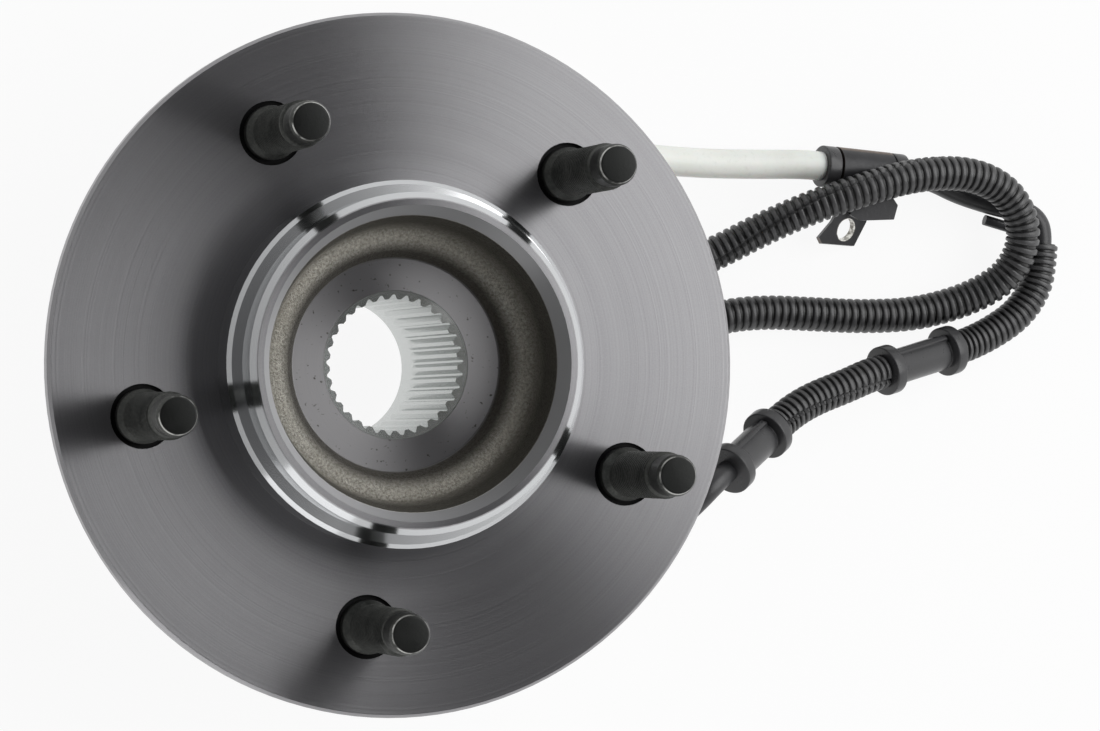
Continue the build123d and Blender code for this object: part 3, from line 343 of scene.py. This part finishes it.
def scaled(color, factor):
    return tuple(c * factor for c in color)


def grained(name, color, rough, metallic, grain, patch, spread, bump):
    """A moulded, pressed or ground surface: patches of tone, fine grain, and uneven gloss."""
    net = Net(name)
    patches = net.noise(patch, 4, 0.6)
    fine = net.noise(grain, 4, 0.7)
    tone = net.mix(net.fade(patches, 0.3, 0.7), scaled(color, 1 - spread), scaled(color, 1 + spread))
    tone = net.mix(net.fade(fine, 0.35, 0.75, 0.0, 0.35), tone, scaled(color, 1 + 1.5 * spread))
    gloss = net.fade(net.noise(patch * 2.3, 5, 0.65), 0.3, 0.7, rough * 0.85, rough * 1.15)
    return net.done(tone, gloss, metallic, net.bump(fine, bump, 0.0001))


def hub_zones(net):
    """A mask for each zone of the hub, and one for the bowl's wall, which takes painted shade, and its darker
    foot.
    """
    zones = {name: net.zone(*bounds) for name, bounds in HUB_ZONES.items()}
    upper, lower = net.fade(net.radius, *BOWL_WALL_FADE), net.fade(net.radius, *BOWL_FOOT_FADE)
    zones["wall"] = net.math("MULTIPLY", net.math("MAXIMUM", upper, lower), zones["bowl"])
    return zones


def hub_color(net, zones, rings, fine, grain):
    """The colours of the turned metal and of each zone, laid over one another, with painted shade on the
    bowl's wall and in the stud holes.
    """
    wide_rings = net.rings(net.radius, 260, 2)
    patches = net.noise(26, 4, 0.6)
    pits = net.noise(800, 2, 0.5)
    metal = net.mix(net.fade(wide_rings, 0.3, 0.7), (0.350, 0.346, 0.356), (0.380, 0.376, 0.386))
    metal = net.mix(net.fade(patches, 0.35, 0.65, 0.0, 0.3), metal, (0.330, 0.326, 0.340))
    metal = net.mix(net.fade(rings, 0.35, 0.65, 0.0, 0.35), metal, (0.28, 0.277, 0.287))
    metal = net.mix(net.fade(fine, 0.40, 0.72, 0.0, 0.5), metal, (0.42, 0.416, 0.422))
    olive = net.mix(net.fade(grain, 0.32, 0.70), (0.30, 0.283, 0.24), (0.80, 0.78, 0.71))
    olive = net.mix(net.fade(patches, 0.35, 0.65, 0.0, 0.4), olive, (0.38, 0.355, 0.30))
    # Olive darkened as painted shade on the bowl's steep wall, and as the foot's own darker tone.
    painted_shade_and_dark_olive = net.mix(net.fade(grain, 0.32, 0.70), (0.062, 0.058, 0.048), (0.125, 0.118, 0.102))
    dull = net.mix(net.fade(pits, 0.67, 0.75), (0.30, 0.295, 0.30), (0.09, 0.085, 0.08))
    pale = net.mix(net.fade(fine, 0.35, 0.7), (0.60, 0.62, 0.61), (0.74, 0.76, 0.75))
    color = net.mix(zones["pilot"], metal, (0.62, 0.63, 0.64))
    color = net.mix(zones["cone"], color, (0.45, 0.45, 0.46))
    color = net.mix(zones["bowl"], color, olive)
    # Painted shade on the bowl's wall, and the darker tone of its foot.
    color = net.mix(zones["wall"], color, painted_shade_and_dark_olive)
    color = net.mix(zones["seat"], color, dull)
    # Painted shadow: near black in the recesses round the studs.
    color = net.mix(zones["hole"], color, (0.03, 0.03, 0.03))
    return net.mix(zones["spline"], color, pale)


def hub_material():
    """Turned face, polished pilots, forged bowl with painted shade on its wall, machined nut seat, pale
    splines and stud holes darkened by painted shadow.
    """
    net = Net("hub_steel")
    zones = hub_zones(net)
    rings = net.rings(net.radius, 1800, 3)
    fine = net.noise(2600, 3, 0.7)
    grain = net.noise(1500, 3, 0.75)
    color = hub_color(net, zones, rings, fine, grain)
    rough = net.fade(rings, 0.3, 0.7, 0.28, 0.33)
    for name, value in HUB_ROUGHNESS.items():
        rough = net.blend(zones[name], rough, value)
    metallic = net.blend(zones["bowl"], 1.0, 0.85)
    cut = net.math("MAXIMUM", zones["face"], net.math("MULTIPLY", zones["seat"], 0.8))
    turned = net.bump(net.math("MULTIPLY", rings, cut), 0.3, 0.00005)
    forged = net.bump(net.math("MULTIPLY", grain, zones["bowl"]), 1.0, 0.0007, turned)
    tangent = net.add("ShaderNodeTangent", direction_type="RADIAL", axis="Z")
    net.join(tangent.outputs[0], net.bsdf.inputs["Tangent"])
    return net.done(color, rough, metallic, forged, Anisotropic=0.9, Anisotropic_Rotation=0.25)


def stud_material():
    """Black phosphate with a rubbed, partly bare edge round the dark tip."""
    net = Net("stud_black")
    fine = net.noise(1500, 4, 0.7)
    patches = net.noise(160, 4, 0.6)
    color = net.mix(net.fade(patches, 0.3, 0.7), (0.028, 0.030, 0.028), (0.062, 0.064, 0.060))
    color = net.mix(net.fade(fine, 0.45, 0.8, 0.0, 0.6), color, (0.12, 0.122, 0.112))
    edge = net.between(net.z, STUD_TIP - 0.0007, STUD_TIP - 0.0002, 0.0001)
    worn = net.math("MULTIPLY", edge, net.fade(net.noise(240, 3, 0.6), 0.42, 0.58))
    color = net.mix(worn, color, (0.50, 0.50, 0.48))
    end = net.fade(net.z, STUD_TIP - 0.0003, STUD_TIP - 0.0001)
    color = net.mix(end, color, (0.020, 0.021, 0.020))
    rough = net.blend(worn, net.fade(patches, 0.3, 0.7, 0.34, 0.50), 0.36)
    return net.done(color, rough, 0.75, net.bump(fine, 0.3, 0.0001))


def bracket_material():
    """Black coated sheet with rusty cut edges and a bare steel wall in its hole."""
    net = Net("bracket_black")
    away = net.add("ShaderNodeVectorMath", operation="DISTANCE")
    net.join(net.place, away.inputs[0])
    away.inputs[1].default_value = PLATE_HOLE
    away = away.outputs["Value"]
    tilt, turn = math.radians(PLATE_TILT), math.radians(PLATE_TURN)
    facing = net.add("ShaderNodeVectorMath", operation="DOT_PRODUCT")
    net.join(net.add("ShaderNodeTexCoord").outputs["Normal"], facing.inputs[0])
    facing.inputs[1].default_value = (
        math.sin(tilt) * math.cos(turn), math.sin(tilt) * math.sin(turn), math.cos(tilt))
    facing = net.math("ABSOLUTE", facing.outputs["Value"])
    fine = net.noise(1300, 4, 0.7)
    cut = net.math("MULTIPLY", net.fade(facing, 0.15, 0.3, 1.0, 0.0), net.fade(away, *RUST_BEGIN))
    bare = net.fade(away, *BARE_WALL_END, 1.0, 0.0)
    coat = net.mix(net.fade(net.noise(130, 4), 0.3, 0.7), (0.014, 0.014, 0.016), (0.030, 0.030, 0.033))
    rust = net.mix(net.noise(700, 3), (0.030, 0.022, 0.018), (0.17, 0.105, 0.06))
    steel = net.mix(net.fade(net.noise(520, 2), 0.42, 0.58), (0.20, 0.19, 0.17), (0.80, 0.79, 0.74))
    color = net.mix(bare, net.mix(cut, coat, rust), steel)
    rough = net.blend(bare, net.fade(fine, 0.3, 0.7, 0.34, 0.48), 0.28)
    return net.done(color, rough, net.blend(bare, 0.15, 1.0), net.bump(fine, 0.3, 0.0001))


def conduit_material():
    """Black corrugated plastic: satin tops, painted shade that darkens the gaps, a little dust."""
    net = Net("loom_plastic")
    fine = net.noise(1700, 4, 0.7)
    patches = net.noise(210, 4, 0.65)
    color = net.mix(net.fade(patches, 0.3, 0.7), (0.048, 0.048, 0.049), (0.070, 0.070, 0.072))
    color = net.mix(net.fade(fine, 0.58, 0.8, 0.0, 0.5), color, (0.13, 0.13, 0.13))
    # Painted shade: the colour goes near black with each point's depth below the ring tops.
    depth = net.add("ShaderNodeAttribute", attribute_name="depth").outputs["Fac"]
    color = net.mix(depth, color, (0.006, 0.006, 0.006))
    rough = net.fade(patches, 0.3, 0.7, 0.30, 0.44)
    return net.done(color, rough, 0.0, net.bump(fine, 0.25, 0.0001), Specular_IOR_Level=0.6)


def sleeve_material():
    """White heat-shrunk sleeve, semi-gloss, faintly uneven along its length."""
    net = Net("white_sleeve")
    waves = net.noise(70, 3, 0.5)
    fine = net.noise(900, 3, 0.6)
    color = net.mix(net.fade(waves, 0.35, 0.65), (0.82, 0.83, 0.775), (0.88, 0.885, 0.835))
    color = net.mix(net.fade(fine, 0.55, 0.8, 0.0, 0.3), color, (0.60, 0.60, 0.55))
    height = net.math("ADD", waves, net.math("MULTIPLY", fine, 0.15))
    return net.done(color, net.fade(waves, 0.3, 0.7, 0.32, 0.42), 0.0, net.bump(height, 0.35, 0.0004),
                    Subsurface_Weight=0.08)


# Meshes
def mesh_object(name, points, faces, material, smooth):
    """An object of points and faces, smooth where faces meet at less than the given degrees."""
    mesh = bpy.data.meshes.new(name)
    mesh.from_pydata([tuple(p) for p in points], [], faces)
    mesh.update()
    mesh.shade_smooth()
    mesh.set_sharp_from_angle(angle=math.radians(smooth))
    mesh.materials.append(material)
    made = bpy.data.objects.new(name, mesh)
    scene.collection.objects.link(made)
    return made


def turned_mesh(outline, segments):
    """Points and faces of an outline of (radius, height) swept about Z, closed at its ends on the axis."""
    points, faces = [], []
    rows = []
    for radius, height in outline:
        if radius == 0:
            rows.append([len(points)] * segments)
            points.append((0.0, 0.0, height))
            continue
        rows.append(list(range(len(points), len(points) + segments)))
        for k in range(segments):
            turn = 2 * math.pi * k / segments
            points.append((radius * math.cos(turn), radius * math.sin(turn), height))
    for low, high in zip(rows, rows[1:]):
        for k in range(segments):
            j = (k + 1) % segments
            ring = [low[k], low[j], high[j], high[k]]
            face = [i for n, i in enumerate(ring) if i not in ring[:n]]
            if len(face) > 2:
                faces.append(face)
    return points, faces


def rounded(outline, radius, steps=3):
    """The outline with each corner cut to a small arc of points."""
    made = [outline[0]]
    for before, corner, after in zip(outline, outline[1:], outline[2:]):
        b, c, a = Vector(before), Vector(corner), Vector(after)
        reach = min(radius, (b - c).length * 0.45, (a - c).length * 0.45)
        start, end = c + (b - c).normalized() * reach, c + (a - c).normalized() * reach
        for k in range(steps + 1):
            t = k / steps
            made.append(tuple((1 - t) ** 2 * start + 2 * t * (1 - t) * c + t ** 2 * end))
    return made + [outline[-1]]


def joined_rings(count, segments, start=0):
    """Faces between each ring of points and the next one."""
    faces = []
    for row in range(count - 1):
        low, high = start + row * segments, start + (row + 1) * segments
        for k in range(segments):
            j = (k + 1) % segments
            faces.append((low + k, low + j, high + j, high + k))
    return faces


def moved(points, matrix):
    return [matrix @ Vector(p) for p in points]


def spool_frame(ends):
    """A frame whose Z runs from one end of a spool to the other, and its length."""
    start, end = Vector(ends[0]), Vector(ends[1])
    axis = (end - start).normalized()
    side = Vector((0, 0, 1)).cross(axis).normalized()
    up = axis.cross(side)
    turn = Matrix((side, up, axis)).transposed().to_4x4()
    return Matrix.Translation(start) @ turn, (end - start).length


# Cords
def route_curve(name, route, depth=0.0):
    data = bpy.data.curves.new(name, "CURVE")
    data.dimensions = "3D"
    data.resolution_u = 10
    spline = data.splines.new("NURBS")
    spline.points.add(len(route) - 1)
    for point, place in zip(spline.points, route):
        point.co = (*place, 1.0)
    spline.order_u = 3
    spline.use_endpoint_u = True
    data.bevel_depth = depth
    data.bevel_resolution = 8
    data.use_fill_caps = depth > 0
    made = bpy.data.objects.new(name, data)
    scene.collection.objects.link(made)
    return made


def route_line(route):
    """Points of the route's smooth line, read from its spline."""
    bare = route_curve("line", route)
    mesh = bpy.data.meshes.new_from_object(bare)
    line = np.array([v.co for v in mesh.vertices], float)
    bpy.data.meshes.remove(mesh)
    bpy.data.curves.remove(bare.data)
    return line


def length_of(line):
    return float(np.linalg.norm(np.diff(line, axis=0), axis=1).sum())


def line_frames(line, places):
    """Centre, side and up of the line at distances along it; up leans towards the sky."""
    steps = np.concatenate([[0], np.cumsum(np.linalg.norm(np.diff(line, axis=0), axis=1))])
    places = np.array(places)
    near = 0.0008
    centres, ahead, behind = [
        np.stack([np.interp(places + shift, steps, line[:, k]) for k in range(3)], axis=1)
        for shift in (0.0, near, -near)]
    along = ahead - behind
    along /= np.linalg.norm(along, axis=1)[:, None]
    side = np.cross([0, 0, 1], along)
    side /= np.linalg.norm(side, axis=1)[:, None]
    return centres, side, np.cross(along, side)


def ring_places(total, pitch, gap):
    """Distances along a conduit and its radius at each: rings, and the bare foot within the gap."""
    count = round(total / pitch)
    step = total / count
    places = [(ring + share) * step for ring in range(count) for share, _ in RING_PROFILE] + [total]
    radii = [radius for _ in range(count) for _, radius in RING_PROFILE] + [LOOM_FOOT]
    low, high = gap
    radii = [LOOM_FOOT if low < place < high else radius for place, radius in zip(places, radii)]
    return places, radii


def conduit(name, route, pitch, material, seam, gap):
    """A corrugated conduit: flat-topped rings with gaps along the route, and its slit along the seam."""
    segments = 36
    line = route_line(route)
    places, radii = ring_places(length_of(line), pitch, gap)
    turns = np.radians(np.interp(places, [place for place, _ in seam], [turn for _, turn in seam]))
    points = []
    for radius, centre, right, over, first in zip(radii, *line_frames(line, places), turns):
        for k in range(segments):
            turn = first + 2 * math.pi * k / segments
            reach = radius if k else LOOM_FOOT - SLIT_DEPTH
            points.append(centre + reach * (math.cos(turn) * right + math.sin(turn) * over))
    faces = joined_rings(len(places), segments)
    faces.append(tuple(reversed(range(segments))))
    faces.append(tuple(range(len(points) - segments, len(points))))
    made = mesh_object(name, points, faces, material, 35)
    # Each point's depth below the ring tops, which the material turns into painted shade in the gaps.
    depths = [(LOOM_TOP - radius) / (LOOM_TOP - LOOM_FOOT) for radius in radii for _ in range(segments)]
    made.data.attributes.new("depth", "FLOAT", "POINT").data.foreach_set("value", depths)
    return made, line


def make_cords(mats):
    """The cords, each with its route and, where it is a mesh, its centre line."""
    cords = {}
    for key, name, route, diameter in (
        ("sleeve", "sleeve_tube", SLEEVE_ROUTE, SLEEVE),
        ("link", "link_lead", LINK_ROUTE, CABLE),
        ("lead", "hidden_lead", LEAD_ROUTE, CABLE),
    ):
        cords[key] = (route_curve(name, route, diameter / 2), route, None)
        cords[key][0].data.materials.append(mats[CORD_SLOTS[key][0]])
    for key, name, route, pitch, seam, gap in (
        ("outer", "outer_conduit", OUTER_LOOM_ROUTE, OUTER_PITCH, OUTER_SEAM, MIDDLE_GAP),
        ("loop", "loop_conduit", LOOP_ROUTE, LOOP_PITCH, LOOP_SEAM, NO_GAP),
    ):
        piece, line = conduit(name, route, pitch, mats["loom_plastic"], seam, gap)
        cords[key] = (piece, route, line)
    for key, (slot, nodes) in CORD_SLOTS.items():
        piece = cords[key][0]
        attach(piece, "carrier")
        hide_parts(*nodes)
    return cords


def declare_cords(cords, fittings):
    """Lists what each cord is and which pieces go with it, and measures each route's length."""
    connector = [bpy.data.objects.get(name) for name in (
        "connector_housing", "connector_rear_cap", "connector_seal", "connector_terminals", "connector_lock")]
    bracket, cap = bpy.data.objects.get("harness_bracket"), bpy.data.objects.get("splice_cap")
    facts = {
        "sleeve": (SLEEVE, "fitting", "stiff", [fittings["sleeve_grommet"], bracket]),
        "link": (CABLE, "object", "limp", [cap]),
        "outer": (LOOM, "fitting", "medium", [fittings["middle_grommet"], fittings["end_grommet"]]),
        "lead": (CABLE, "object", "limp", []),
        "loop": (LOOM, "connector", "medium", connector),
    }
    for key, (diameter, far_end, stiffness, pieces) in facts.items():
        piece, route, line = cords[key]
        length = length_of(route_line(route))


def make_spool(name, ends, sizes, rib_turn, material):
    """A grommet turned from a rounded outline, undercut at its first flange, with a long rib on its body."""
    flange_radius, flange, body_radius = sizes
    matrix, length = spool_frame(ends)
    far = length - flange
    neck, neck_end = body_radius - UNDERCUT_DEPTH, flange + UNDERCUT_WIDTH
    outline = rounded([
        (0, 0), (flange_radius, 0), (flange_radius, flange), (neck, flange), (neck, neck_end),
        (body_radius, neck_end + UNDERCUT_RAMP), (body_radius, far), (flange_radius, far),
        (flange_radius, length), (0, length),
    ], GROMMET_CORNER)
    points, faces = turned_mesh(outline, 56)
    turn = Matrix.Rotation(math.radians(rib_turn - 90), 4, "Z")
    start, wide = len(points), len(RIB_SECTION)
    for height in (flange + RIB_START, far + RIB_OVERLAP):
        points += moved([(across, body_radius + out, height) for across, out in RIB_SECTION], turn)
    faces += joined_rings(2, wide, start)
    faces.append(tuple(range(start, start + wide)))
    faces.append(tuple(reversed(range(start + wide, start + 2 * wide))))
    return mesh_object(name, moved(points, matrix), faces, material, 40)


def make_fittings(rubber):
    """The three grommets, under the names of the CAD nodes that they replace."""
    fittings = {
        "sleeve_grommet": make_spool("sleeve_spool", SLEEVE_SPOOL, SMALL_GROMMET, SLEEVE_RIB, rubber),
        "middle_grommet": make_spool("middle_spool", MIDDLE_SPOOL, LARGE_GROMMET, MIDDLE_RIB, rubber),
        "end_grommet": make_spool("end_spool", END_SPOOL, LARGE_GROMMET, END_RIB, rubber),
    }
    for node, piece in fittings.items():
        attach(piece, "carrier")
        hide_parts(node)
    return fittings


# Studs
def thread_mesh(low, high, crest, root, segments):
    """Points and faces of a helical thread, which runs out to its root at both ends."""
    profile = [(0.0, crest), (0.22, crest), (0.55, root), (0.67, root)]
    turns = math.ceil((high - low) / THREAD_PITCH) + 2
    points, faces = [], []
    for turn in range(turns):
        for share, radius in profile:
            for k in range(segments + 1):
                height = low + (turn - 1 + share + k / segments) * THREAD_PITCH
                end = min(height - low, high - height)
                fading = root + (radius - root) * max(end, 0) / THREAD_PITCH
                reach = radius if end > THREAD_PITCH else fading
                angle = 2 * math.pi * k / segments
                points.append((reach * math.cos(angle), reach * math.sin(angle), min(max(height, low), high)))
    wide = segments + 1
    for row in range(turns * len(profile) - 1):
        for k in range(segments):
            below = row * wide + k
            above = below + wide
            faces.append((below, below + 1, above + 1, above))
    return points, faces


def make_studs(material):
    """Five studs with rolled threads, an end groove and a dog point."""
    segments = 40
    crest, root, neck, dog = 0.006, 0.00515, 0.0053, 0.0045
    low, high = 0.0038, 0.0362
    head, head_foot, flange_back = 0.0095, -0.0130, -0.0095
    knurl, knurl_top = 0.0070, 0.0020
    groove_top, dog_cone = high + 0.0010, 0.0016
    base = rounded([(0, head_foot), (head, head_foot), (head, flange_back), (knurl, flange_back),
                    (knurl, knurl_top), (root, low)], 0.0003)
    tip = rounded([(root, high), (neck, groove_top), (neck, STUD_TIP - dog_cone), (dog, STUD_TIP),
                   (0, STUD_TIP)], 0.00025)
    lengths = (turned_mesh(base, segments), thread_mesh(low, high, crest, root, segments),
               turned_mesh(tip, segments))
    points, faces = [], []
    for index in range(STUD_COUNT):
        angle = math.radians(STUD_FIRST_ANGLE + 360 / STUD_COUNT * index)
        place = Matrix.Translation((STUD_CIRCLE / 2 * math.cos(angle), STUD_CIRCLE / 2 * math.sin(angle), 0))
        place = place @ Matrix.Rotation(angle * 3, 4, "Z")
        for some, their in lengths:
            start = len(points)
            points += moved(some, place)
            faces += [tuple(i + start for i in face) for face in their]
    studs = mesh_object("studs_threaded", points, faces, material, 50)
    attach(studs, "hub")
    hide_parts("wheel_studs")


# Floor, world and light
def make_stage():
    """A white floor that takes the object's shadow and looks white to the camera and in mirrors."""
    corners = [(-1, -1), (1, -1), (1, 1), (-1, 1)]
    mat = bpy.data.materials.new("floor_white")
    floor = mesh_object("floor", [(x * FLOOR_REACH, y * FLOOR_REACH, FLOOR - FLOOR_GAP) for x, y in corners],
                        [(0, 1, 2, 3)], mat, 30)
    floor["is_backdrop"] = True
    mat.use_nodes = True
    nodes, links = mat.node_tree.nodes, mat.node_tree.links
    bsdf = nodes["Principled BSDF"]
    bsdf.inputs["Base Color"].default_value = (0.93, 0.93, 0.93, 1)
    bsdf.inputs["Roughness"].default_value = 0.9
    bsdf.inputs["Specular IOR Level"].default_value = 0.1
    glow = nodes.new("ShaderNodeEmission")
    glow.inputs["Strength"].default_value = 1.0
    seen = seen_rays(nodes, links)
    share = nodes.new("ShaderNodeMath")
    share.operation = "MULTIPLY"
    share.inputs[1].default_value = 0.92
    mixer = nodes.new("ShaderNodeMixShader")
    links.new(seen, share.inputs[0])
    links.new(share.outputs[0], mixer.inputs[0])
    links.new(bsdf.outputs[0], mixer.inputs[1])
    links.new(glow.outputs[0], mixer.inputs[2])
    links.new(mixer.outputs[0], nodes["Material Output"].inputs[0])


def seen_rays(nodes, links):
    """1 for the rays that see the floor directly, in a mirror or through glass."""
    path = nodes.new("ShaderNodeLightPath")
    first = nodes.new("ShaderNodeMath")
    second = nodes.new("ShaderNodeMath")
    first.operation = second.operation = "MAXIMUM"
    links.new(path.outputs["Is Camera Ray"], first.inputs[0])
    links.new(path.outputs["Is Glossy Ray"], first.inputs[1])
    links.new(first.outputs[0], second.inputs[0])
    links.new(path.outputs["Is Transmission Ray"], second.inputs[1])
    return second.outputs[0]


def make_world():
    """Soft light from all sides, darker at the zenith and brighter towards +X, white to the camera."""
    world = bpy.data.worlds.new("studio")
    scene.world = world
    world.use_nodes = True
    nodes, links = world.node_tree.nodes, world.node_tree.links
    back = nodes["Background"]
    coord = nodes.new("ShaderNodeTexCoord")
    split = nodes.new("ShaderNodeSeparateXYZ")
    links.new(coord.outputs["Generated"], split.inputs[0])
    ramp = nodes.new("ShaderNodeValToRGB")
    ramp.color_ramp.interpolation = "EASE"
    bright, dark = ramp.color_ramp.elements
    bright.position, bright.color = 0.35, (1, 1, 1, 1)
    dark.position, dark.color = 0.92, (0.075, 0.075, 0.08, 1)
    links.new(split.outputs["Z"], ramp.inputs[0])
    side = nodes.new("ShaderNodeMapRange")
    side.inputs["From Min"].default_value = -1.0
    side.inputs["To Min"].default_value = 0.45
    side.inputs["To Max"].default_value = 1.15
    links.new(split.outputs["X"], side.inputs["Value"])
    sky = nodes.new("ShaderNodeMix")
    sky.data_type = "RGBA"
    sky.blend_type = "MULTIPLY"
    sky.inputs["Factor"].default_value = 1.0
    links.new(ramp.outputs[0], sky.inputs[6])
    links.new(side.outputs[0], sky.inputs[7])
    path = nodes.new("ShaderNodeLightPath")
    seen = nodes.new("ShaderNodeMix")
    seen.data_type = "RGBA"
    links.new(path.outputs["Is Camera Ray"], seen.inputs["Factor"])
    links.new(sky.outputs[2], seen.inputs[6])
    seen.inputs[7].default_value = (1, 1, 1, 1)
    links.new(seen.outputs[2], back.inputs["Color"])
    back.inputs["Strength"].default_value = 1.0


def area_light(name, place, size, power):
    """A rectangular lamp that looks at the middle of the object."""
    data = bpy.data.lights.new(name, "AREA")
    data.shape = "RECTANGLE"
    data.size, data.size_y = size
    data.energy = power
    light = bpy.data.objects.new(name, data)
    scene.collection.objects.link(light)
    light.location = place
    aim = (Vector(LAMP_TARGET) - Vector(place)).normalized()
    light.rotation_euler = aim.to_track_quat("-Z", "Y").to_euler()


def dress(name, material):
    """Gives a CAD node its material."""
    node = bpy.data.objects[name]
    for holder in node.material_slots:
        holder.link = "OBJECT"
        holder.material = material


def make_materials():
    mats = {
        "hub_steel": hub_material(),
        "stud_black": stud_material(),
        "bracket_black": bracket_material(),
        "loom_plastic": conduit_material(),
        "white_sleeve": sleeve_material(),
    }
    for name, looks in PLAIN_MATERIALS.items():
        mats[name] = grained(name, *looks)
    return mats


def main():
    make_camera()
    mats = make_materials()
    for part in frame["record"]["subparts"]:
        dress(part["node"], mats[part["material_slot"]])
    dress("splice_cap", mats["cap_plastic"])
    cords = make_cords(mats)
    declare_cords(cords, make_fittings(mats["grommet_rubber"]))
    make_studs(mats["stud_black"])
    make_stage()
    make_world()
    area_light("key", *KEY_LAMP)
    area_light("fill", *FILL_LAMP)
    boxes = {"cad": cad_box, "visual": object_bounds()}
    boxes = {key: [[float(v) for v in corner] for corner in value] for key, value in boxes.items()}


main()
